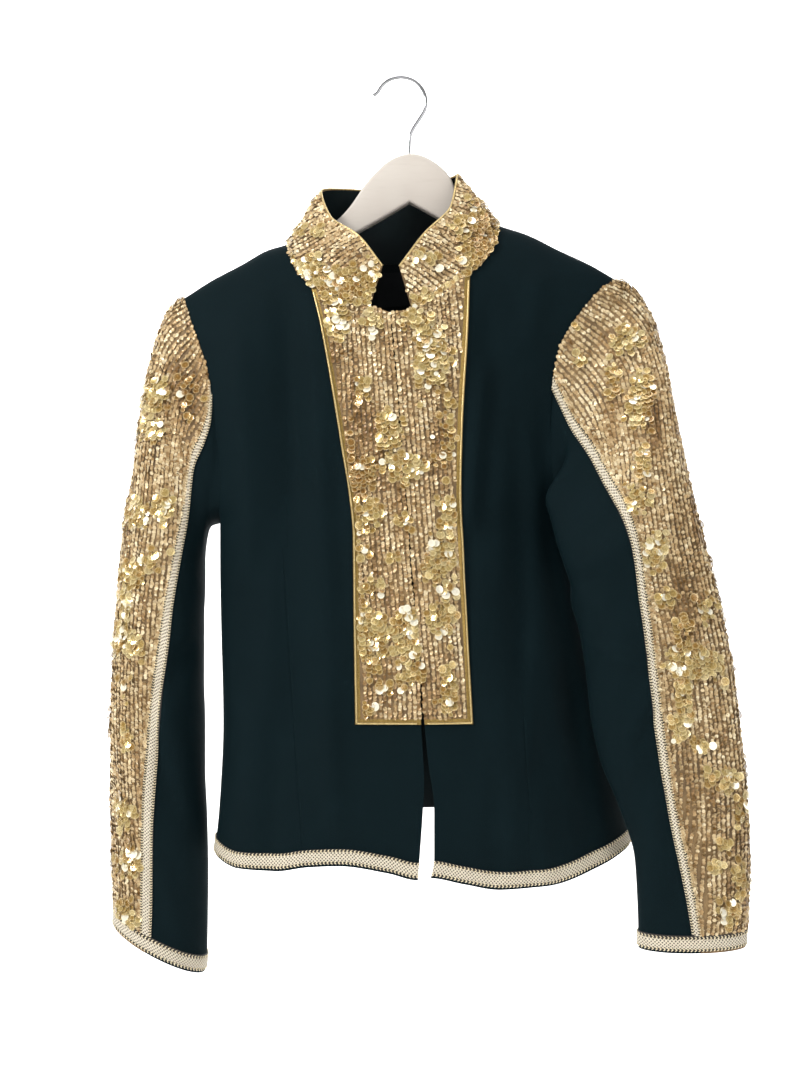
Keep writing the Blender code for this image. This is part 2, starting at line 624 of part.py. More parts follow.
def make_material(colour):
    """A plain Principled material of one of the jacket's colours."""
    rgb, roughness, metallic = COLOURS[colour]
    material = bpy.data.materials.new(colour)
    material.use_nodes = True
    shader = material.node_tree.nodes["Principled BSDF"]
    shader.inputs["Base Color"].default_value = (*rgb, 1.0)
    shader.inputs["Roughness"].default_value = roughness
    shader.inputs["Metallic"].default_value = metallic
    return material


def add_object(name, mesh, colour):
    """Turn a bmesh into a named object with its own material, in the jacket's collection."""
    data = bpy.data.meshes.new(name)
    mesh.to_mesh(data)
    mesh.free()
    data.shade_smooth()
    data.set_sharp_from_angle(angle=math.radians(50))
    data.materials.append(make_material(colour))
    thing = bpy.data.objects.new(name, data)
    bpy.data.collections["blazer"].objects.link(thing)
    return thing


def near_seam(side, upper, at_back):
    """Which faces a seam braid covers: a column of the upper sleeve and one of the under sleeve."""
    upper_name, under_name = PANELS.index("upper_" + side), PANELS.index("under_" + side)
    last_upper = 2 * (len(HIGH_ROWS) - 1 - HIGH_ROWS.index(SEAM_RISE)) - 1
    last_under = 2 * HIGH_ROWS.index(SEAM_RISE) - 1
    upper_column, under_column = (last_upper, 0) if at_back else (0, last_under)
    last_row = len(SLEEVE_STATIONS) - 2

    def chosen(panel, row, column):
        on_upper = panel == upper_name and column == upper_column
        on_under = panel == under_name and column == under_column
        return (on_upper or on_under) and row < last_row
    return chosen


def cut_body(skin):
    """The fronts, the back, the collar and everything laid on them."""
    back, collar = PANELS.index("back"), PANELS.index("collar")
    cut_piece(skin, "back", lambda p, r, c: p == back, -CLOTH_WALL, 0, "navy cloth")
    cut_piece(skin, "collar", lambda p, r, c: p == collar, -CLOTH_WALL, 0, "gold sequins")
    cut_piece(skin, "hem_braid_back", lambda p, r, c: p == back and r == 0,
              OVERLAY_GAP, OVERLAY_GAP + BRAID_WALL, "cream braid")
    cut_piece(skin, "neck_label", lambda p, r, c: p == back and c in LABEL_COLUMNS and r in LABEL_ROWS,
              -CLOTH_WALL - OVERLAY_GAP - LABEL_WALL, -CLOTH_WALL - OVERLAY_GAP, "plain label")
    for side in ("left", "right"):
        front = PANELS.index("front_" + side)

        def plastron(panel, row, column, front=front):
            return panel == front and row >= PLASTRON_ROW and column < EDGING_COLUMN

        def edging(panel, row, column, front=front):
            beside = row >= EDGING_ROW and column == EDGING_COLUMN
            below = row == EDGING_ROW and column < EDGING_COLUMN
            return panel == front and (beside or below)

        cut_piece(skin, "front_" + side, lambda p, r, c: p == front, -CLOTH_WALL, 0, "navy cloth")
        cut_piece(skin, "plastron_" + side, plastron, OVERLAY_GAP, OVERLAY_GAP + PLASTRON_WALL, "gold sequins")
        cut_piece(skin, "plastron_edging_" + side, edging, OVERLAY_GAP, OVERLAY_GAP + EDGING_WALL, "gold cord")
        cut_piece(skin, "hem_braid_" + side, lambda p, r, c: p == front and r == 0,
                  OVERLAY_GAP, OVERLAY_GAP + BRAID_WALL, "cream braid")


def cut_sleeves(skin):
    """The two parts of each sleeve, its seam braids and its cuff braid."""
    cuff_row = len(SLEEVE_STATIONS) - 2
    for side in ("left", "right"):
        upper, under = PANELS.index("upper_" + side), PANELS.index("under_" + side)
        cut_piece(skin, "upper_sleeve_" + side, lambda p, r, c: p == upper, -CLOTH_WALL, 0, "gold sequins")
        cut_piece(skin, "under_sleeve_" + side, lambda p, r, c: p == under, -CLOTH_WALL, 0, "navy cloth")
        cut_piece(skin, "front_braid_" + side, near_seam(side, upper, False),
                  OVERLAY_GAP, OVERLAY_GAP + BRAID_WALL, "cream braid")
        cut_piece(skin, "back_braid_" + side, near_seam(side, upper, True),
                  OVERLAY_GAP, OVERLAY_GAP + BRAID_WALL, "cream braid")
        cut_piece(skin, "cuff_braid_" + side, lambda p, r, c: p in (upper, under) and r == cuff_row,
                  OVERLAY_GAP, OVERLAY_GAP + BRAID_WALL, "cream braid")


def make_wire(name, points, radius, colour):
    """A round wire or cord through points in millimetres."""
    curve = bpy.data.curves.new(name, "CURVE")
    curve.dimensions = "3D"
    curve.bevel_depth = radius * MM
    curve.bevel_resolution = WIRE_SIDES_RESOLUTION
    curve.use_fill_caps = True
    spline = curve.splines.new("POLY")
    spline.points.add(len(points) - 1)
    for spot, place in zip(spline.points, points):
        spot.co = (place[0] * MM, place[1] * MM, place[2] * MM, 1.0)
    curve.materials.append(make_material(colour))
    thing = bpy.data.objects.new(name, curve)
    bpy.data.collections["blazer"].objects.link(thing)
    return thing


def make_hook():
    """The bent wire: a stem out of the wood, a bend aside, and a round hook over the rail."""
    centre_x, centre_z = 0.0, -HOOK_RADIUS
    reach = HOOK_RADIUS + WIRE_RADIUS
    points = [(STEM_X, 0, STEM_FOOT_Z), (STEM_X, 0, -66), (8.0, 0, -56), (10.5, 0, -48.5)]
    for degrees in range(-25, 156, 10):
        turn = math.radians(degrees)
        points.append((centre_x + reach * math.cos(turn), 0, centre_z + reach * math.sin(turn)))
    points.append((centre_x - reach + 0.2, 0, centre_z + 7.6))
    points.append((centre_x - reach - 2.8, 0, centre_z + 6.2))
    make_wire("hanger_hook", points, WIRE_RADIUS, "chrome wire")


def make_wood():
    """The flat wooden arms, with a hole for the hook's stem."""
    mesh = bmesh.new()
    outline = list(zip(*WOOD_TOP.values())) + list(zip(*WOOD_BOTTOM.values()))
    ring = [mesh.verts.new((x * MM, -WOOD_THICKNESS / 2 * MM, z * MM)) for x, z in outline]
    face = mesh.faces.new(ring)
    raised = bmesh.ops.extrude_face_region(mesh, geom=[face], use_keep_orig=True)["geom"]
    moved = [part for part in raised if isinstance(part, bmesh.types.BMVert)]
    bmesh.ops.translate(mesh, verts=moved, vec=(0, WOOD_THICKNESS * MM, 0))
    bmesh.ops.recalc_face_normals(mesh, faces=mesh.faces)
    rims = [edge for edge in mesh.edges if edge.calc_face_angle() > math.radians(80)]
    bmesh.ops.bevel(mesh, geom=rims, offset=WOOD_EDGE_ROUND * MM, segments=2, profile=0.5, affect="EDGES")
    wood = add_object("hanger_wood", mesh, "white wood")
    drill = bmesh.new()
    depth = WOOD_TOP["z"].max() - STEM_FOOT_Z + 2 * STEM_CLEARANCE
    bmesh.ops.create_cone(drill, cap_ends=True, segments=16, depth=2 * depth * MM,
                          radius1=(WIRE_RADIUS + STEM_CLEARANCE) * MM,
                          radius2=(WIRE_RADIUS + STEM_CLEARANCE) * MM)
    bmesh.ops.translate(drill, verts=drill.verts, vec=(STEM_X * MM, 0, WOOD_TOP["z"].max() * MM))
    data = bpy.data.meshes.new("stem_hole")
    drill.to_mesh(data)
    drill.free()
    cutter = bpy.data.objects.new("stem_hole", data)
    cutter.hide_render = True
    bpy.data.collections["cutters"].objects.link(cutter)
    bore = wood.modifiers.new("stem hole", "BOOLEAN")
    bore.object = cutter
    bore.operation = "DIFFERENCE"
    bore.solver = "EXACT"


def make_piping(collar_base, collar_edge):
    """The fine cord along the collar's top edge."""
    rise = collar_edge - collar_base
    up = rise / np.linalg.norm(rise, axis=1)[:, None]
    make_wire("collar_piping", collar_edge + up * PIPING_RISE, PIPING_RADIUS, "gold cord")


def main():
    """Clear the scene and build the jacket on its hanger."""
    for thing in list(bpy.data.objects):
        bpy.data.objects.remove(thing, do_unlink=True)
    for name in ("blazer", "cutters"):
        bpy.context.scene.collection.children.link(bpy.data.collections.new(name))
    skin, collar = build_skin()
    cut_body(skin)
    cut_sleeves(skin)
    skin.free()
    make_piping(collar[0], collar[-1])
    make_wood()
    make_hook()


main()
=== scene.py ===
"""A short stand-collar evening jacket with sequin sleeves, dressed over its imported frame.

The cloth repeats the frame's own tables at a finer step. Sequins, braids and cords lie on
patches of that cloth. Sizes are in millimetres and become metres in the meshes.
"""
import math

import bmesh
import bpy
import numpy as np
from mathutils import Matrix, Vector


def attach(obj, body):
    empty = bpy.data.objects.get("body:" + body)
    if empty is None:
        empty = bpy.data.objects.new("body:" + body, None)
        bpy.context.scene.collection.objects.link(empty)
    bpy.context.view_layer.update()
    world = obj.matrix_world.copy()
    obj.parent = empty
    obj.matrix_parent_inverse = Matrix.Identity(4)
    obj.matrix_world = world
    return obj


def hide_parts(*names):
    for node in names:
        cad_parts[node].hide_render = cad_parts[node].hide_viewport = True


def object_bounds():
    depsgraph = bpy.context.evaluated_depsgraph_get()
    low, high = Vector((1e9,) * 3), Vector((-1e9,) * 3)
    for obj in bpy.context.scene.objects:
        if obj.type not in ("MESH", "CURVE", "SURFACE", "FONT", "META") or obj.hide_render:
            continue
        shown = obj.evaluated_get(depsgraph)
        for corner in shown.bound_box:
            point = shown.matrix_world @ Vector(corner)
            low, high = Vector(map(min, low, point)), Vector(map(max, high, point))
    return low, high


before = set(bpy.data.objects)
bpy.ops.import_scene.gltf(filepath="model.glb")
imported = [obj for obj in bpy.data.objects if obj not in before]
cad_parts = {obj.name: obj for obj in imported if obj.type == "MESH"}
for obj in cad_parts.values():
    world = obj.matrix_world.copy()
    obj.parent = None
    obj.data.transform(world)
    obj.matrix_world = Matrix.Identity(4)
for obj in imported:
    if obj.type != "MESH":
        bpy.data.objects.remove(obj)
CAD_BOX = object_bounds()

bl_info = {
    "name": "Evening jacket on a hanger",
    "version": (1, 0, 0),
    "blender": (4, 5, 0),
    "location": "3D View > Sidebar > Jacket",
    "description": "Builds a sequin evening jacket hanging from a wooden hanger",
    "category": "Object",
}

MM = 0.001
SIDES = ("left", "right")

# What the steps share: patches of cloth, finished pieces and common finishes
GARMENT = {}

# How far what lies on the cloth is lifted off it
OVERLAY_GAP = 0.35

# Where two parts meet, the outward direction's length: its least, and how fast it falls off
CREASE_THINNEST = 0.4
CREASE_EASE = 1.3

# Widths of the braids, and of the edging of a front panel
HEM_BRAID_WIDTH = 16.0
SLEEVE_BRAID_WIDTH = 12.0
EDGING_WIDTH = 5.0

# Heights of the jacket's hem, front panels and underarms
HEM_Z = -740.0
PLASTRON_BOTTOM_Z = -599.0
UNDERARM_Z = -422.0

# The share of an armhole's height at which a sleeve's seams start
SEAM_RISE = 0.57

# How far below the shoulder line the body has its full depth, and how far the back hem curves up
SHOULDER_ROUND = 130.0
BACK_HEM_LIFT = 27.0

# How the front turns into the side, as the power of a superellipse
ROUND_LEFT = 2.6
ROUND_RIGHT = 1.8

# The hanger's wood and wire, with the steps along their outlines and the wire's sides
WOOD_THICKNESS = 12.0
WOOD_ROUNDING = 2.6
WOOD_STEP = 5
WIRE_RADIUS = 1.75
WIRE_STEP = 1.6
WIRE_SIDES = 14
HOOK_RADIUS = 22.0

# The wire from its stem's foot to the round hook, the arc's angles and their step, and its tip
STEM_BEND = ((7.6, 0, -88.0), (7.6, 0, -66), (8.0, 0, -56), (10.5, 0, -48.5))
HOOK_ARC = (-25, 156, 5)
HOOK_TIP = ((-23.55, 0, -14.4), (-26.55, 0, -15.8))

# Cords: step along the path, radius, sides, plies, length of one twist and depth between plies
PANEL_CORD = (0.8, 1.05, 8, 2, 4.2, 0.3)
PIPING_CORD = (0.9, 1.25, 8, 2, 3.6, 0.22)

# How far a cord's middle is lifted from the front, and from the collar's top edge
PANEL_CORD_LIFT = OVERLAY_GAP + 1.6
PIPING_LIFT = 0.7

LABEL_THICKNESS = 0.7


def table(columns, rows):
    """A table with named columns: one array of numbers for each name."""
    values = np.array(rows, dtype=float)
    return {name: values[:, place] for place, name in enumerate(columns.split())}


# Body sections: where the sides are, how deep front and back are, and how far the sides sit back
BODY = table("z left right back_left back_right front back left_y right_y", [
    (-745, -177, 222, -177, 222, 66, 50, 0, 10),
    (-680, -171, 212, -171, 212, 64, 48, 0, 14),
    (-610, -168, 199, -168, 199, 61, 46, 0, 18),
    (-520, -170, 184, -170, 184, 62, 48, 0, 22),
    (-460, -171, 170, -171, 170, 62, 49, 0, 21),
    (-422, -171, 158, -171, 158, 62, 50, 0, 14),
    (-400, -181, 164, -186, 187, 61, 51, 0, 12),
    (-370, -188, 166, -194, 196, 60, 51, 0, 10),
    (-300, -206, 174, -212, 212, 57, 51, 0, 9),
    (-240, -226, 205, -228, 228, 54, 50, 0, 4),
    (-190, -242, 244, -242, 244, 52, 50, 0, 0),
])

# Centre-front edges and outer edges of the two plastrons
CENTRE_EDGE = {
    "left": table("z x", [
        (-745, 15), (-678, 20), (-657, 21), (-598, 18), (-555, 17), (-525, 14), (-430, 6),
        (-330, -2), (-232, -10),
    ]),
    "right": table("z x", [
        (-745, 26), (-722, 30), (-678, 30), (-640, 25), (-598, 21), (-555, 19), (-525, 16),
        (-430, 8), (-330, 0), (-232, -8),
    ]),
}
PLASTRON_EDGE = {
    "left": table("z x", [
        (-745, -33), (-601, -36), (-538, -37), (-434, -38), (-394, -42), (-359, -48),
        (-318, -55), (-246, -68), (-210, -77),
    ]),
    "right": table("z x", [
        (-745, 63), (-601, 60), (-512, 55), (-460, 52), (-384, 50), (-336, 51), (-246, 56),
        (-198, 58),
    ]),
}

# Armhole edges of the fronts and of the back
ARMHOLE = {
    ("left", "front"): table("z x", [
        (-422, -171), (-390, -166), (-355, -168), (-317, -172), (-278, -179), (-240, -193),
        (-208, -205),
    ]),
    ("left", "back"): table("z x", [
        (-422, -171), (-390, -178), (-355, -184), (-300, -189), (-240, -197), (-208, -205),
    ]),
    ("right", "front"): table("z x", [
        (-422, 158), (-405, 149), (-380, 143), (-340, 140), (-294, 142), (-260, 147),
        (-239, 158), (-221, 171), (-203, 187), (-191, 204),
    ]),
    ("right", "back"): table("z x", [
        (-422, 158), (-390, 171), (-340, 183), (-300, 188), (-240, 195), (-191, 204),
    ]),
}

# The shoulder line, drawn on over the neck, and the front and back necklines
SHOULDER = table("x z", [
    (-205, -208), (-178, -191), (-151, -177), (-126, -163), (-106, -157), (-60, -132),
    (-9, -115), (50, -120), (91, -139), (119, -148), (150, -163), (180, -177), (204, -191),
])
FRONT_NECK = {
    "left": table("x z", [
        (-107, -157), (-104, -172), (-99, -185), (-92, -196), (-77, -209), (-50, -220),
        (-24, -227), (-10, -232),
    ]),
    "right": table("x z", [
        (-8, -232), (11, -228), (35, -215), (57, -199), (75, -184), (83, -172), (88, -158),
        (91, -139),
    ]),
}
BACK_NECK = table("x z", [
    (-107, -157), (-75, -164), (-40, -168), (-9, -167), (24, -163), (57, -156), (91, -139),
])

# The hem's edge along the fronts
HEM = table("x z", [
    (-177, -731), (-149, -738), (-115, -738), (-85, -733), (-54, -731), (-11, -737), (15, -743),
    (26, -741), (57, -747), (90, -753), (136, -752), (182, -741), (222, -727),
])

# The collar's top edge: stations 0 to 1 run from the left front end to the left side, 1 to 2
# round the back and 2 to 3 from the right side to the right front end
COLLAR_TOP = table("station x y z", [
    (0.00, -17, -56, -191),
    (0.25, -38, -50, -163),
    (0.60, -66, -30, -139),
    (1.00, -76, -4, -108),
    (1.25, -52, 24, -99),
    (1.50, -12, 36, -97),
    (1.75, 30, 25, -93),
    (2.00, 54, -3, -92),
    (2.40, 47, -30, -129),
    (2.75, 20, -50, -162),
    (3.00, -1, -55, -191),
])

# Sleeve rings from the armhole to the cuff: the outer and inner points of each, its depth, and how
# far its cloth hangs over the front of the body
SLEEVE = {
    "left": table("outer_x outer_z inner_x inner_z middle_y front back over", [
        (-205, -208, -171, -422, 0, 38, 40, 0),
        (-219, -219, -180, -425, 1, 41, 41, 0),
        (-230, -247, -185, -440, 2, 42, 42, 0),
        (-238, -284, -187, -460, 3, 43, 42, 0),
        (-246, -335, -187, -484, 3, 43, 43, 0),
        (-254, -390, -188, -511, 3, 42, 44, 0),
        (-262, -447, -188, -540, 3, 42, 44, 0),
        (-267, -503, -188, -573, 3, 42, 43, 0),
        (-271, -560, -187, -612, 4, 41, 42, 0),
        (-274, -620, -187, -656, 4, 39, 40, 0),
        (-275, -680, -185, -704, 4, 37, 38, 0),
        (-274, -735, -184, -757, 4, 34, 35, 0),
        (-273, -786, -185, -831, 4, 31, 31, 0),
        (-273, -802, -187, -848, 4, 31, 31, 0),
    ]),
    "right": table("outer_x outer_z inner_x inner_z middle_y front back over", [
        (204, -191, 158, -422, 5, 38, 38, 0),
        (221, -199, 170, -419, 5, 38, 40, 0),
        (236, -226, 173, -432, -3, 41, 40, 34),
        (246, -270, 167, -455, -14, 41, 38, 29),
        (254, -325, 158, -476, -25, 41, 36, 16),
        (264, -385, 156, -494, -38, 35, 29, 4),
        (276, -440, 163, -522, -44, 30, 26, 0),
        (289, -498, 168, -556, -48, 27, 24, 0),
        (300, -556, 172, -596, -50, 25, 23, 0),
        (307, -612, 181, -638, -50, 24, 22, 0),
        (313, -668, 198, -680, -50, 23, 22, 0),
        (316, -724, 213, -730, -49, 22, 21, 0),
        (314, -790, 216, -792, -49, 21, 20, 0),
        (313, -806, 216, -808, -49, 21, 20, 0),
    ]),
}

# The middle line of each sleeve's front braid
BRAID_LINE = {
    "left": table("z x", [
        (-850, -238), (-766, -236), (-676, -233), (-630, -229), (-584, -225), (-539, -219),
        (-493, -213), (-448, -205), (-415, -199), (-387, -195), (-368, -192), (-342, -181),
        (-323, -176), (-300, -175),
    ]),
    "right": table("z x", [
        (-830, 271), (-768, 262), (-732, 255), (-696, 247), (-648, 238), (-600, 231),
        (-552, 225), (-504, 219), (-444, 210), (-413, 201), (-384, 188), (-357, 176),
        (-330, 160), (-294, 144),
    ]),
}

# Large soft folds. Each runs from its top to its bottom point; height is towards the viewer
FRONT_FOLDS = table("top_x top_z bottom_x bottom_z width height", [
    (-108, -235, -92, -640, 18, -5),
    (-72, -300, -62, -690, 14, 3),
    (-140, -300, -128, -700, 20, 3),
    (97, -262, 118, -600, 17, -11),
    (78, -275, 62, -430, 9, 6),
    (128, -300, 160, -640, 16, -5),
    (96, -560, 100, -740, 22, 6),
])
BACK_FOLDS = table("top_x top_z bottom_x bottom_z width height", [
    (-104, -300, -92, -690, 22, -5),
    (-55, -420, -48, -740, 20, 4),
    (20, -260, 14, -700, 26, -4),
    (84, -330, 104, -740, 22, 5),
    (128, -260, 142, -660, 22, -5),
])

# The wooden hanger's outline: its upper edge from the left end to the right, then its lower edge
WOOD_TOP = table("x z", [
    (-187, -205), (-180, -198), (-151, -184), (-108, -164), (-85, -152), (-63, -137),
    (-49, -123), (-33, -100), (-20, -86), (-8, -77), (8, -72), (23, -75), (37, -84), (47, -95),
    (53, -111), (61, -129), (72, -142), (88, -150), (119, -155), (150, -170), (176, -183),
    (184, -190),
])
WOOD_BOTTOM = table("x z", [
    (186, -200), (180, -206), (150, -192), (119, -177), (90, -163), (62, -149), (37, -134),
    (20, -124.5), (8, -118), (-3, -125), (-20, -135), (-45, -149), (-76, -169), (-108, -188),
    (-150, -207), (-181, -219), (-188, -214),
])

# Grid rows of the body: a height below the underarm, then the share of the armhole's rise above it
LOW_ROWS = (HEM_Z, HEM_Z + HEM_BRAID_WIDTH, -694, -662, -632, PLASTRON_BOTTOM_Z - EDGING_WIDTH,
            PLASTRON_BOTTOM_Z, -566, -532, -498, -467, -442)

# Half a braid's share of the armhole's rise, and the row at which the fronts end below the neck
BRAID_RISE = 0.028
YOKE_SHARE = 0.84
HIGH_ROWS = (0, 0.12, 0.22, 0.32, 0.43, SEAM_RISE - BRAID_RISE, SEAM_RISE, SEAM_RISE + BRAID_RISE,
             0.72, YOKE_SHARE, 0.895, 0.935, 0.97, 1)
EDGING_ROW = LOW_ROWS.index(PLASTRON_BOTTOM_Z - EDGING_WIDTH)
PLASTRON_ROW = LOW_ROWS.index(PLASTRON_BOTTOM_Z)
YOKE_ROW = len(LOW_ROWS) + HIGH_ROWS.index(YOKE_SHARE)

# Grid columns of a front: 0 to 1 is the plastron, 1 to 2 its edging, 2 to 3 the plain cloth. The
# collar is sewn on from the first named column to the second
COLLAR_END = 0.27
NECK_COLUMN = 2.1
PLASTRON_COLUMNS = (0, COLLAR_END, 0.48, 0.74)
SHOULDER_COLUMNS = (NECK_COLUMN, 2.24, 2.38, 2.52, 2.66, 2.79, 2.9, 2.965, 3)
FRONT_COLUMNS = PLASTRON_COLUMNS + (1, 2) + SHOULDER_COLUMNS
EDGING_COLUMN = FRONT_COLUMNS.index(1)
BACK_NECK_X = (-88, -57, -25, -6, 13, 45, 74)

# The back's columns and rows under the neck label
LABEL_COLUMNS = range(11, 13)
LABEL_ROWS = range(21, 24)

COLLAR_ROWS = (0, 0.22, 0.5, 0.78, 1)

# A sleeve's stations are its rings; by the second value it has left the armhole's shape for them
SLEEVE_STATIONS = tuple(range(14))
CAP_STATIONS = 3.4

# The braid's section: share of its width and height there, over the top and back below
BRAID_SECTION = table("share lift", [
    (0, 0.5), (0.04, 0.75), (0.1, 0.8), (0.16, 0.8), (0.22, 1.25), (0.36, 1.45), (0.5, 1.5),
    (0.64, 1.45), (0.78, 1.25), (0.84, 0.8), (0.9, 0.8), (0.96, 0.75), (1, 0.5),
    (1, OVERLAY_GAP), (0.5, OVERLAY_GAP), (0, OVERLAY_GAP), (0, 0.5),
])

# Names of the skin's grids, numbered for the face layer
PANELS = ("front_left", "front_right", "back", "collar", "upper_left", "upper_right",
          "under_left", "under_right")

# How finely each step of the tables is cut
FINE_ROWS = 5
FINE_COLUMNS = 4
FINE_STATIONS = 9
FINE_COLLAR = 4

# The fine row where a sleeve's cuff braid begins, and the fine column of its front seam
CUFF_ROW = (len(SLEEVE_STATIONS) - 2) * FINE_STATIONS
SEAM_COLUMN = HIGH_ROWS.index(SEAM_RISE) * FINE_ROWS

# Darts and princess seams of the fronts: lines of stitching down the cloth
DART = {
    "front_left": table("z x", [
        (-471, -105), (-540, -101), (-620, -96), (-714, -89), (-745, -88),
    ]),
    "front_right": table("z x", [
        (-598, 112), (-640, 114), (-683, 117),
    ]),
}

# Soft folds of the cloth that only show close up, as in the tables of the main folds
FRONT_CREASES = table("top_x top_z bottom_x bottom_z width height", [
    (-152, -235, -140, -470, 15, 4.5),
    (-104, -222, -92, -410, 12, -4.5),
    (-62, -330, -52, -520, 10, -2.5),
    (-126, -430, -150, -600, 13, -3.6),
    (-70, -560, -58, -700, 11, 3.0),
    (-112, -600, -118, -735, 11, -3.0),
    (-150, -570, -146, -738, 17, 5.0),
    (80, -225, 76, -400, 12, -5.0),
    (101, -262, 97, -480, 12, 4.5),
    (132, -310, 140, -530, 13, -3.5),
    (62, -430, 58, -590, 9, -3.0),
    (88, -640, 84, -744, 10, -3.4),
    (122, -520, 118, -640, 10, 4.0),
    (128, -660, 132, -750, 11, 4.0),
    (160, -560, 176, -735, 13, -4.0),
    (128, -190, 118, -262, 12, 3.0),
])
BACK_CREASES = table("top_x top_z bottom_x bottom_z width height", [
    (-150, -250, -130, -420, 14, 3.7),
    (-70, -300, -90, -500, 12, -3.7),
    (-30, -500, -36, -730, 12, -3.4),
    (46, -420, 40, -690, 14, 4.3),
    (110, -280, 96, -470, 13, 3.7),
    (150, -480, 160, -720, 12, -4.0),
    (-128, -560, -120, -730, 10, 3.4),
])

# Folds of the sleeves: station and share of the way round at both ends, width and height
SLEEVE_FOLDS = {
    "left": table("top top_around bottom bottom_around width rise", [
        (0.6, 0.42, 5.0, 0.38, 0.045, 2.9),
        (1.4, 0.31, 6.5, 0.30, 0.035, -2.6),
        (4.5, 0.44, 9.5, 0.36, 0.05, 2.3),
        (6.0, 0.10, 8.0, 0.21, 0.04, -3.9),
        (5.0, 0.16, 9.5, 0.14, 0.05, 3.1),
        (8.5, 0.20, 12.2, 0.17, 0.04, -2.6),
        (9.0, 0.33, 12.4, 0.40, 0.05, -2.3),
        (1.5, 0.62, 7.0, 0.66, 0.05, -3.1),
        (5.0, 0.58, 11.0, 0.62, 0.05, 2.9),
        (3.5, 0.84, 9.0, 0.90, 0.05, -3.6),
        (8.0, 0.80, 12.0, 0.86, 0.04, 2.6),
        (6.0, 0.21, 9.0, 0.17, 0.03, 3.0),
        (8.4, 0.20, 10.2, 0.13, 0.03, -2.8),
        (9.6, 0.21, 11.6, 0.15, 0.03, 2.8),
    ]),
    "right": table("top top_around bottom bottom_around width rise", [
        (0.8, 0.40, 4.6, 0.36, 0.045, 2.6),
        (2.0, 0.30, 7.0, 0.31, 0.04, -2.3),
        (4.5, 0.10, 6.6, 0.20, 0.04, -3.4),
        (3.6, 0.16, 8.0, 0.13, 0.05, 2.9),
        (6.5, 0.40, 11.5, 0.36, 0.05, 2.3),
        (7.5, 0.18, 11.8, 0.20, 0.04, -2.3),
        (1.5, 0.64, 7.5, 0.68, 0.05, -2.9),
        (5.0, 0.58, 11.0, 0.60, 0.05, 2.6),
        (3.5, 0.86, 9.0, 0.90, 0.05, -3.1),
        (7.6, 0.20, 9.6, 0.10, 0.03, 3.0),
        (8.2, 0.21, 9.0, 0.14, 0.025, -2.6),
        (6.4, 0.06, 7.4, 0.20, 0.03, 3.0),
        (9.4, 0.20, 10.6, 0.12, 0.03, 2.4),
    ]),
}

# Where the larger discs gather on the viewer's side: middle, half sizes and how thickly
DISC_SPOTS = table("x z width height weight", [
    (-51, -206, 36, 16, 1.2), (-82, -188, 14, 14, 0.9), (-76, -152, 8, 8, 0.8),
    (-21, -194, 9, 16, 1), (73, -160, 18, 38, 1.3), (53, -145, 8, 10, 1), (22, -182, 12, 8, 0.8),
    (21, -217, 10, 8, 0.9), (-93, -148, 6, 8, 0.7), (-56, -240, 10, 21, 1),
    (-24, -241, 11, 13, 0.8), (11, -239, 15, 11, 0.7), (27, -269, 16, 32, 1.1),
    (-36, -302, 10, 15, 0.9), (-12, -342, 12, 17, 1), (-45, -346, 10, 32, 0.6),
    (43, -337, 10, 42, 0.7), (-34, -378, 12, 15, 1), (3, -374, 19, 13, 1), (36, -363, 8, 8, 0.8),
    (-28, -412, 13, 19, 1), (1, -421, 10, 15, 0.8), (42, -415, 10, 17, 1), (36, -456, 13, 32, 1),
    (-32, -449, 11, 11, 0.6), (-5, -453, 8, 8, 0.6), (-23, -484, 15, 13, 0.7),
    (-27, -523, 15, 36, 1.1), (1, -524, 13, 23, 1.1), (36, -510, 13, 19, 0.9),
    (13, -556, 15, 11, 0.7), (-8, -571, 21, 15, 0.6), (43, -571, 10, 23, 1),
    (-32, -590, 13, 15, 0.7), (-232, -304, 15, 17, 1.1), (-232, -334, 13, 13, 1),
    (-197, -301, 15, 28, 0.6), (-217, -410, 10, 11, 1), (-243, -415, 15, 15, 0.9),
    (-229, -456, 10, 13, 0.8), (-247, -470, 13, 15, 1), (-256, -495, 11, 19, 0.7),
    (-258, -530, 13, 17, 0.9), (-241, -535, 9, 11, 0.7), (-251, -577, 10, 28, 0.6),
    (-252, -623, 9, 19, 0.6), (-256, -690, 12, 13, 1), (-254, -740, 10, 13, 1),
    (-260, -794, 15, 19, 1.1), (209, -252, 15, 15, 1), (216, -315, 12, 27, 1.1),
    (162, -241, 7, 7, 0.6), (166, -271, 8, 8, 0.6), (198, -293, 12, 31, 0.6),
    (221, -367, 12, 21, 0.6), (216, -402, 14, 12, 1), (227, -443, 12, 21, 0.6),
    (238, -490, 9, 12, 1), (271, -501, 10, 19, 0.8), (251, -515, 10, 12, 0.7),
    (262, -547, 29, 15, 1.1), (250, -590, 10, 29, 1.1), (265, -619, 12, 10, 0.7),
    (273, -648, 8, 10, 0.8), (294, -652, 10, 10, 0.9), (302, -682, 8, 21, 0.7),
    (292, -710, 10, 12, 0.8), (282, -728, 8, 9, 0.8), (292, -771, 12, 15, 0.9),
    (303, -746, 8, 25, 0.7),
])

# Where the sequins of that side turn amber
AMBER_SPOTS = table("x z width height weight", [
    (-61, -286, 17, 28, 0.8), (-41, -360, 20, 64, 1.1), (36, -355, 11, 37, 0.9),
    (-8, -443, 28, 37, 0.5), (-28, -567, 28, 37, 0.7), (27, -576, 20, 37, 0.7),
    (-1, -493, 37, 22, 0.5), (-51, -208, 24, 15, 0.8), (75, -160, 17, 40, 1),
    (-195, -304, 15, 33, 1.3), (-232, -725, 18, 56, 0.4), (229, -325, 9, 42, 1.1),
    (197, -307, 8, 20, 0.9), (271, -420, 14, 54, 0.5), (262, -673, 27, 36, 0.4),
    (298, -764, 14, 27, 0.5), (253, -492, 13, 41, 1),
])

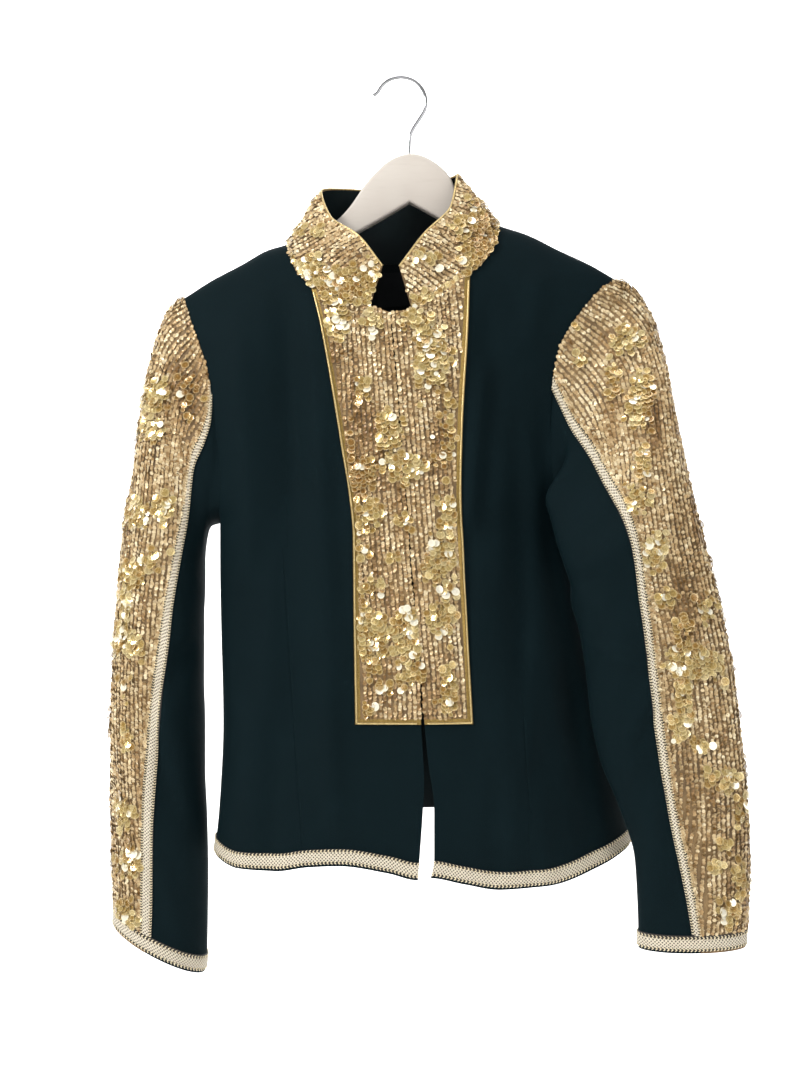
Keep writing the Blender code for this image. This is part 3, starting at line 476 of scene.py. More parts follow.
# Each piece of cloth: its panel of the skin, the solid it stands for, and whether it is plain wool
CLOTH_PIECES = (
    ("back", "back", True),
    ("front_left", "front_left", True),
    ("front_right", "front_right", True),
    ("collar", "collar", False),
    ("upper_left", "upper_sleeve_left", False),
    ("upper_right", "upper_sleeve_right", False),
    ("under_left", "under_sleeve_left", True),
    ("under_right", "under_sleeve_right", True),
)

# Least and largest radius of the small sequins
SEQUIN_RADII = (1.4, 2.2)
SEQUIN_THICKNESS = 0.08

# Radii of the larger discs and how common each is
DISC_RADII = (2.2, 3.3, 4.1)
DISC_SHARES = (0.2, 0.45, 0.35)

# Least and largest radius of the discs along the collar's seam and ends, and their spacing
EDGE_DISC_RADII = (2.2, 3.4)
EDGE_DISC_PITCH = 4.6

# How high the sequins sit on the sleeves and collar, and on the front panels
SEQUIN_LIFT = 1.0
PANEL_LIFT = OVERLAY_GAP + 1.5

# Bare margins beside the rows of sequins, the second one beside the right sleeve's front braid
SLEEVE_MARGIN = 0.8
TRIMMED_MARGIN = 3.8
PANEL_MARGIN = 0.9
COLLAR_MARGIN = 0.6

# Seeds of the sequins' small differences
SLEEVE_SEED = 11
PANEL_SEED = 21
COLLAR_SEED = 31
EDGE_SEED = 41

# The netting's height on the skin, and the walls of a front panel and of the strip at its edge
NETTING_LIFT = 0.5
PANEL_WALL = 1.0
STRIP_WALL = 1.1

# From a braid's edge to the middle of its edge stitches, and the step between its rows
EDGE_STITCH = 1.5
BRAID_STEP = 1.7

# Each edge stitch is two beads: their lift, how far each is from its middle, and their lean in
# radians. A bead's half length is a share of the pitch, then come its half width and height
STITCH_LIFT = 1.3
STITCH_SPREAD = 0.62
STITCH_LEAN = 0.6
BEAD_LENGTH = 0.42
BEAD_SECTION = (0.54, 0.55)

# How far each piece is drawn back from its seams, so that no light shows through
SEAM_EASE = 0.02

# How far a collar row leans towards the front on its way up
COLLAR_SLANT = 24.0

# Shares of a braid's width: left bare at the hem and cuff, and turned away on the right sleeve
BARE_HEM = 0.13
BARE_CUFF = 0.14
TRIMMED_BRAID = 0.25

# The backdrop in metres: half the floor's width, the wall's place and height, and their bend
FLOOR_HALF = 3.5
WALL_Y = 2.0
WALL_HEIGHT = 6.0
WALL_BEND = 1.0

# The studio's soft lamps, in metres and watts: name, place, what they face, size and power
STUDIO_LIGHTS = (
    ("key", (-2.1, -1.8, 1.0), (0, 0, -0.45), 0.9, 88.0),
    ("fill", (1.7, -2.2, -0.1), (0, 0, -0.45), 1.6, 18.0),
    ("top", (0.2, -0.6, 1.7), (0, 0, -0.4), 1.4, 20.0),
    ("rim left", (-1.7, 0.9, 0.2), (0, 0, -0.4), 1.0, 5.0),
    ("rim right", (1.7, 0.9, 0.0), (0, 0, -0.4), 1.0, 5.0),
    ("wall", (0, 1.0, 1.6), (0, 3.6, 0.0), 1.6, 110.0),
)


def smooth(curve, across, along, place):
    """Read a table as a smooth curve that never swings past its points."""
    order = np.argsort(curve[across])
    xs, ys = curve[across][order], curve[along][order]
    steps = np.diff(xs)
    rises = np.diff(ys) / steps
    slopes = np.concatenate(([rises[0]], np.zeros(len(xs) - 2), [rises[-1]]))
    same_way = rises[:-1] * rises[1:] > 0
    both = np.where(same_way, rises[:-1] + rises[1:], 1.0)
    slopes[1:-1] = np.where(same_way, 2 * rises[:-1] * rises[1:] / both, 0.0)
    place = np.clip(place, xs[0], xs[-1])
    low = np.clip(np.searchsorted(xs, place) - 1, 0, len(xs) - 2)
    share = (place - xs[low]) / steps[low]
    start = ys[low] * (1 + 2 * share) * (1 - share) ** 2
    end = ys[low + 1] * share ** 2 * (3 - 2 * share)
    leave = slopes[low] * share * (1 - share) ** 2
    arrive = slopes[low + 1] * share ** 2 * (share - 1)
    return start + end + steps[low] * (leave + arrive)


def ease(share):
    """Go smoothly from 0 to 1."""
    share = np.clip(share, 0.0, 1.0)
    return share * share * (3 - 2 * share)


def fold_height(folds, x, z):
    """The sum of the long soft folds at places on the cloth."""
    total = 0.0
    for top_x, top_z, bottom_x, bottom_z, width, height in zip(*folds.values()):
        along = (top_z - z) / (top_z - bottom_z)
        middle = top_x + (bottom_x - top_x) * np.clip(along, -0.2, 1.2)
        fade = ease((along + 0.15) / 0.35) * ease((1.15 - along) / 0.35)
        total = total + height * fade * np.exp(-((x - middle) / width) ** 2)
    return total


def body_y(x, z, face):
    """How far the front or the back of the body stands from the hanger's plane."""
    widest = "" if face == "front" else "back_"
    left, right = smooth(BODY, "z", widest + "left", z), smooth(BODY, "z", widest + "right", z)
    middle, half = (left + right) / 2, (right - left) / 2
    across = np.clip((x - middle) / half, -1, 1)
    power = np.where(across < 0, ROUND_LEFT, ROUND_RIGHT)
    side = (1 - abs(across) ** power) ** (1 / power)
    drop = np.clip((smooth(SHOULDER, "x", "z", x) - z) / SHOULDER_ROUND, 0, 1)
    top = np.sqrt(1 - (1 - drop) ** 2)
    seam_y = np.where(across < 0, smooth(BODY, "z", "left_y", z), smooth(BODY, "z", "right_y", z))
    seam_y = seam_y * abs(across) ** 3
    folds = fold_height(FRONT_FOLDS if face == "front" else BACK_FOLDS, x, z)
    creases = fold_height(FRONT_CREASES if face == "front" else BACK_CREASES, x, z)
    relief = (folds + creases) * np.minimum(1, side * top * 2)
    depth = smooth(BODY, "z", face, z) * side * top + relief
    return seam_y - depth if face == "front" else seam_y + depth


def hem_drop(x, height):
    """How far the curved hem pulls a row away from its level, fading up to the plastron."""
    fade = ease((PLASTRON_BOTTOM_Z - height) / (PLASTRON_BOTTOM_Z - HEM_Z))
    return (smooth(HEM, "x", "z", x) - HEM_Z) * fade


def armhole_place(side, face, share):
    """A point of an armhole's edge, by its share of the way from the underarm to the shoulder."""
    tip = ARMHOLE[side, face]["z"][-1]
    z = UNDERARM_Z + share * (tip - UNDERARM_Z)
    return smooth(ARMHOLE[side, face], "z", "x", z), z


def front_x(side, height, share, column):
    """The sideways place of a column in a row of a front, up to the yoke line."""
    edges = []
    for edge in (CENTRE_EDGE, PLASTRON_EDGE):
        level = height + share / YOKE_SHARE * (edge[side]["z"][-1] - height)
        edges.append(smooth(edge[side], "z", "x", level))
    edges.append(edges[1] + (EDGING_WIDTH if side == "right" else -EDGING_WIDTH))
    at_armhole = armhole_place(side, "front", share)[0]
    edges.append(np.where(share > 0, at_armhole, smooth(BODY, "z", side, height)))
    steps = [(edges[k + 1] - edges[k]) * np.clip(column - k, 0, 1) for k in range(3)]
    return edges[0] + sum(steps)


def yoke_z(side, column):
    """The height of the yoke line: the low neckline, then straight across to the armhole."""
    inner_x = front_x(side, UNDERARM_Z, YOKE_SHARE, np.minimum(column, NECK_COLUMN))
    inner_z = smooth(FRONT_NECK[side], "x", "z", inner_x)
    share = np.maximum(0, (column - NECK_COLUMN) / (3 - NECK_COLUMN))
    return inner_z + share * (armhole_place(side, "front", YOKE_SHARE)[1] - inner_z)


def front_grid(side, rows, columns):
    """The points of one front below the yoke line."""
    height, share = (np.array(part)[:, None] for part in zip(*rows))
    column = np.array(columns)[None, :]
    x = front_x(side, height, share, column)
    z = height + share / YOKE_SHARE * (yoke_z(side, column) - height)
    z = z + np.where(share == 0, hem_drop(x, height), 0)
    return np.stack((x, body_y(x, z, "front"), z), axis=-1)


def shoulder_place(side, column):
    """A point of the shoulder seam, from the side of the neck to the armhole."""
    end = 0 if side == "left" else -1
    neck_x, tip_x = FRONT_NECK[side]["x"][end], SHOULDER["x"][end]
    x = neck_x + (column - NECK_COLUMN) / (3 - NECK_COLUMN) * (tip_x - neck_x)
    return x, smooth(SHOULDER, "x", "z", x)


def yoke_grid(side, shares, columns):
    """The points of one front from the yoke line up to the shoulder seam, beside the neck."""
    share, column = np.array(shares)[:, None], np.array(columns)[None, :]
    up = (share - YOKE_SHARE) / (1 - YOKE_SHARE)
    across = (column - NECK_COLUMN) / (3 - NECK_COLUMN)
    neck_x = front_x(side, UNDERARM_Z, YOKE_SHARE, NECK_COLUMN)
    neck_low = smooth(FRONT_NECK[side], "x", "z", neck_x)
    neck_z = neck_low + up * (shoulder_place(side, NECK_COLUMN)[1] - neck_low)
    apart = neck_x - smooth(FRONT_NECK[side], "z", "x", neck_low)
    inner_x = smooth(FRONT_NECK[side], "z", "x", neck_z) + apart * (1 - up)
    outer_x, outer_z = armhole_place(side, "front", share)
    tip_low, tip_high = yoke_z(side, 3), shoulder_place(side, 3)[1]
    edge_bend = outer_z - tip_low - up * (tip_high - tip_low)
    top_x, top_z = shoulder_place(side, column)
    low_z = yoke_z(side, column)
    z = low_z + up * (top_z - low_z) + across * edge_bend
    x = np.where(up == 1, top_x, inner_x + across * (outer_x - inner_x))
    return np.stack((x, body_y(x, z, "front"), z), axis=-1)


def back_top(columns, neck_xs):
    """The top edge of the back: left shoulder, neck, right shoulder."""
    left = [shoulder_place("left", column) for column in reversed(columns)]
    neck = [(x, smooth(BACK_NECK, "x", "z", x)) for x in neck_xs]
    right = [shoulder_place("right", column) for column in columns]
    return np.array(left + neck + right)


def back_grid(rows, columns, neck_xs):
    """The points of the back, whose shoulder columns are the fronts' own."""
    top = back_top(columns, neck_xs)
    way = ((top[:, 0] - top[0, 0]) / (top[-1, 0] - top[0, 0]))[None, :]
    height, share = (np.array(part)[:, None] for part in zip(*rows))
    sides = []
    for side in SIDES:
        low_x = smooth(BODY, "z", side, height)
        arm_x, arm_z = armhole_place(side, "back", share)
        low_z = height + hem_drop(low_x, height)
        sides.append((np.where(share > 0, arm_x, low_x), np.where(share > 0, arm_z, low_z)))
    (left_x, left_z), (right_x, right_z) = sides
    fade = ease((PLASTRON_BOTTOM_Z - height) / (PLASTRON_BOTTOM_Z - HEM_Z))
    x = left_x + way * (right_x - left_x)
    low_z = left_z + way * (right_z - left_z) + BACK_HEM_LIFT * fade * (1 - (2 * way - 1) ** 2)
    z = np.where(share > 0, height + share * (top[:, 1][None, :] - height), low_z)
    return np.stack((x, body_y(x, z, "back"), z), axis=-1)


def collar_grid(base, corners, rows):
    """The collar band between the neckline's points and its top edge."""
    lengths = run_along(base)
    stations = np.interp(lengths, [lengths[k] for k in corners], (0, 1, 2, 3))
    top = np.array([[smooth(COLLAR_TOP, "station", axis, s) for axis in "xyz"] for s in stations])
    return np.array([base + (top - base) * share for share in rows])


def ring_place(row, angle):
    """A point of a sleeve ring: angle 0 is the outer point, and it turns over the front."""
    outer_x, outer_z, inner_x, inner_z, middle_y, front, back = row
    across = (1 + math.cos(angle)) / 2
    depth = -front if math.sin(angle) > 0 else back
    x = inner_x + (outer_x - inner_x) * across
    z = inner_z + (outer_z - inner_z) * across
    return np.array((x, middle_y + depth * abs(math.sin(angle)), z))


def braid_angle(side, row):
    """The angle at which the braid's middle line crosses a ring, found by halving."""
    low, high = 0.05, math.pi - 0.05
    outwards = 1 if side == "right" else -1
    for _ in range(40):
        middle = (low + high) / 2
        x, _, z = ring_place(row, middle)
        if outwards * (x - smooth(BRAID_LINE[side], "z", "x", z)) > 0:
            low = middle
        else:
            high = middle
    return (low + high) / 2


def sleeve_angles(side, row, faces, rises):
    """The angle of each column on a ring: even, with a braid's half width beside each seam."""
    seam = braid_angle(side, row)
    speed = np.linalg.norm(ring_place(row, seam + 0.01) - ring_place(row, seam - 0.01)) / 0.02
    beside = SLEEVE_BRAID_WIDTH / 2 / speed
    knots = (0, SEAM_RISE - BRAID_RISE, SEAM_RISE, SEAM_RISE + BRAID_RISE, 1)
    angles = np.interp(rises, knots, (math.pi, seam + beside, seam, seam - beside, 0))
    return np.where(faces == "front", angles, -angles)


def seam_weights(side, faces, rises):
    """How far each column goes along with the front seam, and with the cloth hung below it."""
    front = faces == "front"
    nearness = np.minimum(rises / (SEAM_RISE - BRAID_RISE),
                          (1 - rises) / (1 - SEAM_RISE - BRAID_RISE))
    hung = np.sin(np.pi * np.clip(rises / SEAM_RISE, 0, 1)) ** 2
    return ease(np.minimum(nearness, 1)) * front, hung * front * (1 if side == "left" else -1)


def sleeve_grid(side, armhole, faces, rises, stations):
    """The points of one sleeve, from the armhole's own points down to the cuff."""
    columns = SLEEVE[side]
    first = [values[0] for values in columns.values()][:-1]
    outer_z, inner_z = first[1], first[3]
    level = np.clip((armhole[:, 2] - inner_z) / (outer_z - inner_z) * 2 - 1, -1, 1)
    start = np.where(faces == "front", np.arccos(level), -np.arccos(level))
    apart = armhole - np.array([ring_place(first, angle) for angle in start])
    numbered = {"station": np.arange(len(columns["front"]), dtype=float), **columns}
    seam = int(np.argmin(abs(rises - SEAM_RISE)))
    near_seam, below_seam = seam_weights(side, faces, rises)
    cap_row = [float(smooth(numbered, "station", name, CAP_STATIONS)) for name in columns][:-1]
    cap_z = ring_place(cap_row, braid_angle(side, cap_row))[2]
    line_start = armhole[seam, 0] - smooth(BRAID_LINE[side], "z", "x", armhole[seam, 2])
    points = np.zeros((len(stations), len(rises), 3))
    for i, station in enumerate(stations):
        *row, over = [float(smooth(numbered, "station", name, station)) for name in columns]
        share = min(station / CAP_STATIONS, 1)
        angles = start + (sleeve_angles(side, row, faces, rises) - start) * ease(share)
        for k, angle in enumerate(angles):
            points[i, k] = ring_place(row, angle) + apart[k] * (1 - share) ** 2
        if share < 1:
            seam_z = armhole[seam, 2] + (cap_z - armhole[seam, 2]) * share
            seam_x = smooth(BRAID_LINE[side], "z", "x", seam_z) + line_start * (1 - share)
            points[i, :, 0] += near_seam * (seam_x - points[i, seam, 0])
            points[i, :, 2] += near_seam * (seam_z - points[i, seam, 2])
        points[i, :, 0] += over * below_seam
    return points


def armhole_loop(front, yoke, back, first_row, side):
    """The armhole's points: up the front's outer edge and down the back's."""
    edge = 0 if side == "left" else -1
    return np.concatenate((front[first_row:, -1], yoke[1:, -1], back[first_row:, edge][::-1][1:]))


def run_along(points):
    """Running length of a line through points."""
    return np.concatenate(([0], np.cumsum(np.linalg.norm(np.diff(points, axis=0), axis=1))))


def unit(ways):
    """Directions of length one."""
    return ways / np.maximum(np.linalg.norm(ways, axis=-1), 1e-9)[..., None]


def finer(marks, parts):
    """Marks with each step between them cut into equal parts."""
    steps = np.arange((len(marks) - 1) * parts + 1) / parts
    return np.interp(steps, np.arange(len(marks)), marks)


def lengths_along(points, axis):
    """Running length of the cloth along one axis of a grid."""
    steps = np.linalg.norm(np.diff(points, axis=axis), axis=2)
    start = np.zeros((1, points.shape[1]) if axis == 0 else (points.shape[0], 1))
    return np.concatenate((start, np.cumsum(steps, axis=axis)), axis=axis)


def evened(values, reach=9):
    """Values averaged with their neighbours along a line."""
    reach = min(reach, len(values) - 1)
    padded = np.pad(values, reach, mode="reflect", reflect_type="odd")
    return np.convolve(padded, np.full(2 * reach + 1, 1 / (2 * reach + 1)), "valid")


class Patch:
    """A stretch of cloth as rows and columns of points, with its outward directions."""

    def __init__(self, points, flip=False, out=None):
        if out is None:
            out = unit(np.cross(np.gradient(points, axis=1), np.gradient(points, axis=0)))
        self.points, self.out = points, -out if flip else out

    def cut(self, rows, columns):
        """A smaller patch with the same outward directions."""
        return Patch(self.points[rows, columns], out=self.out[rows, columns])

    def turned(self):
        """The same patch with its rows and columns changed over."""
        return Patch(self.points.transpose(1, 0, 2), out=self.out.transpose(1, 0, 2))

    def at(self, rows, columns):
        """Points and outward directions at fractional rows and columns."""
        rows = np.clip(rows, 0, self.points.shape[0] - 1.000001)
        columns = np.clip(columns, 0, self.points.shape[1] - 1.000001)
        i, j = rows.astype(int), columns.astype(int)
        a, b = (rows - i)[..., None], (columns - j)[..., None]
        found = []
        for grid in (self.points, self.out):
            low = grid[i, j] * (1 - b) + grid[i, j + 1] * b
            high = grid[i + 1, j] * (1 - b) + grid[i + 1, j + 1] * b
            found.append(low * (1 - a) + high * a)
        return found[0], unit(found[1])

    def sideways(self):
        """Lengths across each row, measured square to the way the whole patch runs."""
        middles = self.points.mean(axis=1)
        count = len(middles)
        reach = max(3, count // 6)
        ahead = np.minimum(np.arange(count) + reach, count - 1)
        back = np.maximum(np.arange(count) - reach, 0)
        way = (middles[ahead] - middles[back])[:, None, :]
        out = (self.out[:, 1:] + self.out[:, :-1]) / 2
        steps = (np.diff(self.points, axis=1) * unit(np.cross(out, way))).sum(axis=2)
        steps = np.maximum(steps * np.sign(np.median(steps)), 0.02)
        return np.concatenate((np.zeros((count, 1)), np.cumsum(steps, axis=1)), axis=1)

    def lines(self, spacing, margins, anchor="middle", slant=0.0):
        """Lines that run down the patch: each is its rows, columns and offset across.

        They keep an even spacing from the patch's middle or from its first edge, or share out
        its changing width and lean towards its ends."""
        near, far = margins
        across = self.sideways() if anchor == "middle" else lengths_along(self.points, 1)
        width = across[:, -1]
        rows = np.arange(len(width), dtype=float)
        usual = np.median(width)
        if anchor == "share":
            count = max(2, round(usual / spacing))
            lean = slant * rows / rows[-1]
            shares = (np.arange(-3, count + 3) + 0.5) / count
            leans = np.clip(2.2 * np.cos(np.pi * shares), -1, 1)
            reaches = [share * width - lean * part for share, part in zip(shares, leans)]
        elif anchor == "edge":
            count = int(width.max() / spacing) + 1
            reaches = [near + k * spacing + 0 * width for k in range(count)]
        else:
            middle = across[:, across.shape[1] // 2]
            low, high = int(middle.max() / spacing), int((width - middle).max() / spacing)
            reaches = [middle + k * spacing for k in range(-low, high + 1)]
            reaches += [0 * width + near + 0.1, width - far - 0.1]
        made = []
        for k, reach in enumerate(reaches):
            inside = (reach > near * 0.99) & (reach < width - far)
            if inside.sum() < 3:
                continue
            columns = np.array([np.interp(reach[i], across[i], np.arange(across.shape[1]))
                                for i in np.flatnonzero(inside)])
            if anchor == "middle":
                columns = evened(columns)
            made.append((rows[inside], columns, k * spacing))
        return made


def even_steps(patch, rows, columns, pitch, start=0.0):
    """Rows and columns at an even pitch along a line on a patch, with the way along it."""
    points = patch.at(rows, columns)[0]
    run = run_along(points)
    places = np.arange(start, run[-1], pitch)
    at_rows, at_columns = np.interp(places, run, rows), np.interp(places, run, columns)
    points, out = patch.at(at_rows, at_columns)
    if len(points) < 2:
        return places, points, out, points
    return places, points, out, unit(np.gradient(points, axis=0))


class Finish:
    """Builds one procedural material, a node at a time."""

    def __init__(self, name, **values):
        self.material = bpy.data.materials.new(name)
        self.material.use_nodes = True
        self.tree = self.material.node_tree
        self.shader = self.tree.nodes["Principled BSDF"]
        for socket, value in values.items():
            label = socket.replace("_", " ").title().replace("Ior", "IOR")
            self.shader.inputs[label].default_value = value

    def node(self, kind, inputs=None, **settings):
        """A new node, with its inputs set or joined by name or number."""
        made = self.tree.nodes.new("ShaderNode" + kind)
        for name, value in settings.items():
            setattr(made, name, value)
        for name, value in (inputs or {}).items():
            if isinstance(value, bpy.types.NodeSocket):
                self.tree.links.new(value, made.inputs[name])
            else:
                made.inputs[name].default_value = value
        return made

    def join(self, socket, value):
        """Join a value to one of the shader's inputs."""
        self.tree.links.new(value, self.shader.inputs[socket])

    def cloth_place(self, scale=(1.0, 1.0, 1.0)):
        """The cloth's own coordinates in metres, times a scale."""
        flat = self.node("UVMap", uv_map="cloth").outputs["UV"]
        return self.node("Mapping", {"Vector": flat, "Scale": scale}).outputs["Vector"]

    def object_place(self, scale=(1.0, 1.0, 1.0)):
        """Object coordinates times a scale."""
        place = self.node("TexCoord").outputs["Object"]
        return self.node("Mapping", {"Vector": place, "Scale": scale}).outputs["Vector"]

    def noise(self, place, scale, detail=2.0, roughness=0.5):
        """Smooth noise from 0 to 1."""
        inputs = {"Vector": place, "Scale": scale, "Detail": detail, "Roughness": roughness}
        return self.node("TexNoise", inputs).outputs["Fac"]

    def math(self, operation, first, second=0.0, third=0.0):
        """One step of arithmetic."""
        return self.node("Math", {0: first, 1: second, 2: third}, operation=operation).outputs[0]

    def reach(self, value, low, high, start=0.0, end=1.0):
        """A value moved from one range to another, and kept inside it."""
        inputs = {"Value": value, "From Min": low, "From Max": high, "To Min": start,
                  "To Max": end}
        return self.node("MapRange", inputs).outputs["Result"]

    def ramp(self, value, *stops):
        """Colours along a value."""
        made = self.node("ValToRGB", {"Fac": value})
        points = made.color_ramp.elements
        while len(points) < len(stops):
            points.new(0.5)
        for point, (place, colour) in zip(points, stops):
            point.position = place
            point.color = (*colour, 1.0)
        return made.outputs["Color"]

    def mix(self, share, first, second, blend="MIX"):
        """Two colours mixed."""
        made = self.node("Mix", data_type="RGBA", blend_type=blend)
        for place, value in ((0, share), (6, first), (7, second)):
            if isinstance(value, bpy.types.NodeSocket):
                self.tree.links.new(value, made.inputs[place])
            elif place == 0:
                made.inputs[place].default_value = value
            else:
                made.inputs[place].default_value = (*value, 1.0)
        return made.outputs[2]

    def tone(self, name="tone"):
        """A number kept in the mesh."""
        return self.node("Attribute", attribute_name=name).outputs["Fac"]

    def bump(self, height, depth, strength=1.0):
        """Fine relief, its depth in millimetres."""
        inputs = {"Height": height, "Distance": depth * MM, "Strength": strength}
        self.join("Normal", self.node("Bump", inputs).outputs["Normal"])


def wool_finish(colour):
    """Dark wool crepe: a fine pebbled surface with a faint sheen, its colour paler on the raised
    pebbles.
    """
    made = Finish("navy wool crepe", roughness=0.75, sheen_weight=0.015, sheen_roughness=0.35,
                  sheen_tint=(0.35, 0.7, 0.8, 1.0), specular_ior_level=0.05)
    place = made.cloth_place()
    pebble = made.noise(place, 1300, 3.0, 0.6)
    twist = made.noise(made.cloth_place((1.0, 0.35, 1.0)), 2400, 1.0)
    drift = made.noise(place, 14)
    pale = tuple(min(1.0, part * 1.55) for part in colour)
    dark = tuple(part * 0.72 for part in colour)
    base = made.mix(drift, dark, pale)
    # The colour is paler where the pebble noise is high, the same noise that raises the bump.
    grain = made.mix(made.reach(pebble, 0.35, 0.75), base, tuple(part * 2.1 for part in colour))
    made.join("Base Color", grain)
    seam = made.math("ABSOLUTE", made.tone("seam"))
    groove = made.reach(seam, 0.0, 1.6)
    rise = made.math("ADD", made.math("MULTIPLY", pebble, 0.5), made.math("MULTIPLY", twist, 0.25))
    made.bump(made.math("ADD", rise, made.math("MULTIPLY", groove, 2.6)), 0.22, 0.8)
    return made.material


def lining_finish():
    """Dark satin lining, a little smoother than the wool."""
    made = Finish("navy lining", roughness=0.5, sheen_weight=0.01, specular_ior_level=0.1)
    drift = made.noise(made.cloth_place(), 22)
    satin = made.ramp(drift, (0.3, (0.0018, 0.0050, 0.0058)), (0.7, (0.0042, 0.0095, 0.0108)))
    made.join("Base Color", satin)
    made.bump(made.noise(made.cloth_place((1.0, 0.3, 1.0)), 1500, 2.0), 0.06)
    return made.material


def backing_finish():
    """The netting under the sequins, dark gold and brown."""
    made = Finish("sequin backing", roughness=0.7, metallic=0.1)
    place = made.cloth_place()
    mesh = made.node("TexVoronoi", {"Vector": place, "Scale": 700.0}).outputs["Distance"]
    tint = made.noise(place, 30)
    made.join("Base Color", made.ramp(tint, (0.3, (0.10, 0.06, 0.025)), (0.7, (0.24, 0.15, 0.06))))
    made.bump(mesh, 0.3)
    return made.material


def chain_finish():
    """Small satin sequins, pinkish beige, each a little different."""
    made = Finish("beige sequins", roughness=0.34, metallic=0.25, coat_weight=0.2,
                  coat_roughness=0.2)
    satin = made.ramp(made.tone(), (0.0, (0.19, 0.095, 0.022)), (0.3, (0.40, 0.25, 0.10)),
                      (0.65, (0.58, 0.43, 0.225)), (1.0, (0.88, 0.75, 0.49)))
    grain = made.noise(made.object_place(), 1500, 2.0, 0.7)
    # Darker speckles at random over the sequins, from the fine noise that also drives their
    # roughness and bump.
    dark_speckle = made.reach(grain, 0.52, 0.72, 0.0, 0.75)
    made.join("Base Color", made.mix(dark_speckle, satin, (0.11, 0.065, 0.03)))
    made.join("Roughness", made.reach(grain, 0.3, 0.7, 0.24, 0.46))
    made.bump(grain, 0.15)
    return made.material


def paillette_finish():
    """Large clear gold discs: see-through amber, with a painted bright rim, a few painted near
    white as glints, and a soft shine.
    """
    made = Finish("clear gold discs", roughness=0.12, metallic=0.35, coat_weight=0.6,
                  coat_roughness=0.05)
    # The near-white top stop is a painted glint, for the few discs set to tone one.
    disc = made.ramp(made.tone(), (0.0, (0.30, 0.125, 0.010)), (0.3, (0.46, 0.28, 0.06)),
                     (0.6, (0.60, 0.45, 0.16)), (0.88, (0.76, 0.63, 0.33)),
                     (1.0, (0.98, 0.93, 0.76)))
    # Painted highlight: towards its rim each disc is mixed towards a brighter gold, for the light
    # that its clear edge catches.
    rim = made.reach(made.tone("rim"), 0.6, 0.95)
    made.join("Base Color", made.mix(made.math("MULTIPLY", rim, 0.45), disc, (0.84, 0.72, 0.42)))
    # The discs painted white as glints are also made more solid.
    painted_glint = made.reach(made.tone(), 0.9, 0.98, 0.0, 0.35)
    clear = made.math("ADD", 0.42, made.math("MULTIPLY", rim, 0.28))
    made.join("Alpha", made.math("ADD", clear, painted_glint))
    drift = made.noise(made.object_place(), 300, 1.0)
    made.join("Roughness", made.reach(drift, 0.3, 0.7, 0.08, 0.28))
    return made.material


def braid_finish():
    """Cream knitted braid with staggered tiny holes along it, and painted shade under the edge
    stitches.
    """
    made = Finish("cream braid", roughness=0.6, metallic=0.1, sheen_weight=0.1)
    knit = []
    flat = made.node("UVMap", uv_map="cloth").outputs["UV"]
    for shift in (0.0, 0.5):
        place = made.node("Mapping", {"Vector": flat, "Location": (0.5 + shift, shift, 0.0),
                                      "Scale": (310.0, 310.0, 1.0)}).outputs["Vector"]
        cell = made.node("TexVoronoi", {"Vector": place, "Scale": 1.0, "Randomness": 0.08},
                         voronoi_dimensions="2D")
        knit.append(cell.outputs["Distance"])
    hole = made.reach(made.math("MINIMUM", *knit), 0.17, 0.27)
    yarn = made.noise(made.cloth_place(), 1800)
    cream = made.ramp(yarn, (0.3, (0.52, 0.45, 0.33)), (0.7, (0.76, 0.69, 0.55)))
    band = made.mix(hole, (0.08, 0.062, 0.042), cream)
    # Painted shade: within about 2.5 mm of each edge, under the edge stitches, the braid is
    # painted near black.
    edge = made.reach(made.tone("edge"), 2.2, 2.7)
    made.join("Base Color", made.mix(edge, (0.022, 0.017, 0.012), band))
    made.bump(made.math("ADD", hole, made.math("MULTIPLY", yarn, 0.4)), 0.4)
    return made.material


def thread_finish(name, dark, pale):
    """Twisted metallic thread."""
    made = Finish(name, roughness=0.36, metallic=0.75, sheen_weight=0.1)
    fibre = made.noise(made.object_place(), 1600)
    made.join("Base Color", made.ramp(fibre, (0.3, dark), (0.72, pale)))
    made.bump(fibre, 0.12)
    return made.material


def label_finish():
    """A plain dark woven label."""
    made = Finish("plain label", roughness=0.5, sheen_weight=0.02, specular_ior_level=0.15)
    inputs = {"Vector": made.cloth_place(), "Scale": 330.0}
    rib = made.node("TexWave", inputs, bands_direction="Y").outputs["Fac"]
    made.join("Base Color", made.mix(rib, (0.0025, 0.0035, 0.0045), (0.006, 0.008, 0.010)))
    made.bump(rib, 0.08)
    return made.material


def wood_finish():
    """Cream white paint over wood, with faint grain."""
    made = Finish("white painted wood", roughness=0.38, coat_weight=0.15, coat_roughness=0.25)
    grain = made.noise(made.object_place((0.12, 1.0, 1.0)), 420, 3.0)
    drift = made.noise(made.object_place(), 18)
    paint = made.ramp(drift, (0.3, (0.475, 0.425, 0.375)), (0.7, (0.53, 0.485, 0.43)))
    lines = made.reach(grain, 0.55, 0.8, 0.0, 0.25)
    made.join("Base Color", made.mix(lines, paint, (0.40, 0.355, 0.30)))
    made.join("Roughness", made.reach(drift, 0.3, 0.7, 0.32, 0.46))
    made.bump(grain, 0.06)
    return made.material


def chrome_finish():
    """Bright plated wire with fine drawn lines."""
    made = Finish("chrome wire", base_color=(0.40, 0.40, 0.41, 1.0), metallic=1.0, roughness=0.16)
    drawn = made.noise(made.object_place(), 500)
    made.join("Roughness", made.reach(drawn, 0.3, 0.7, 0.1, 0.24))
    made.bump(drawn, 0.02)
    return made.material


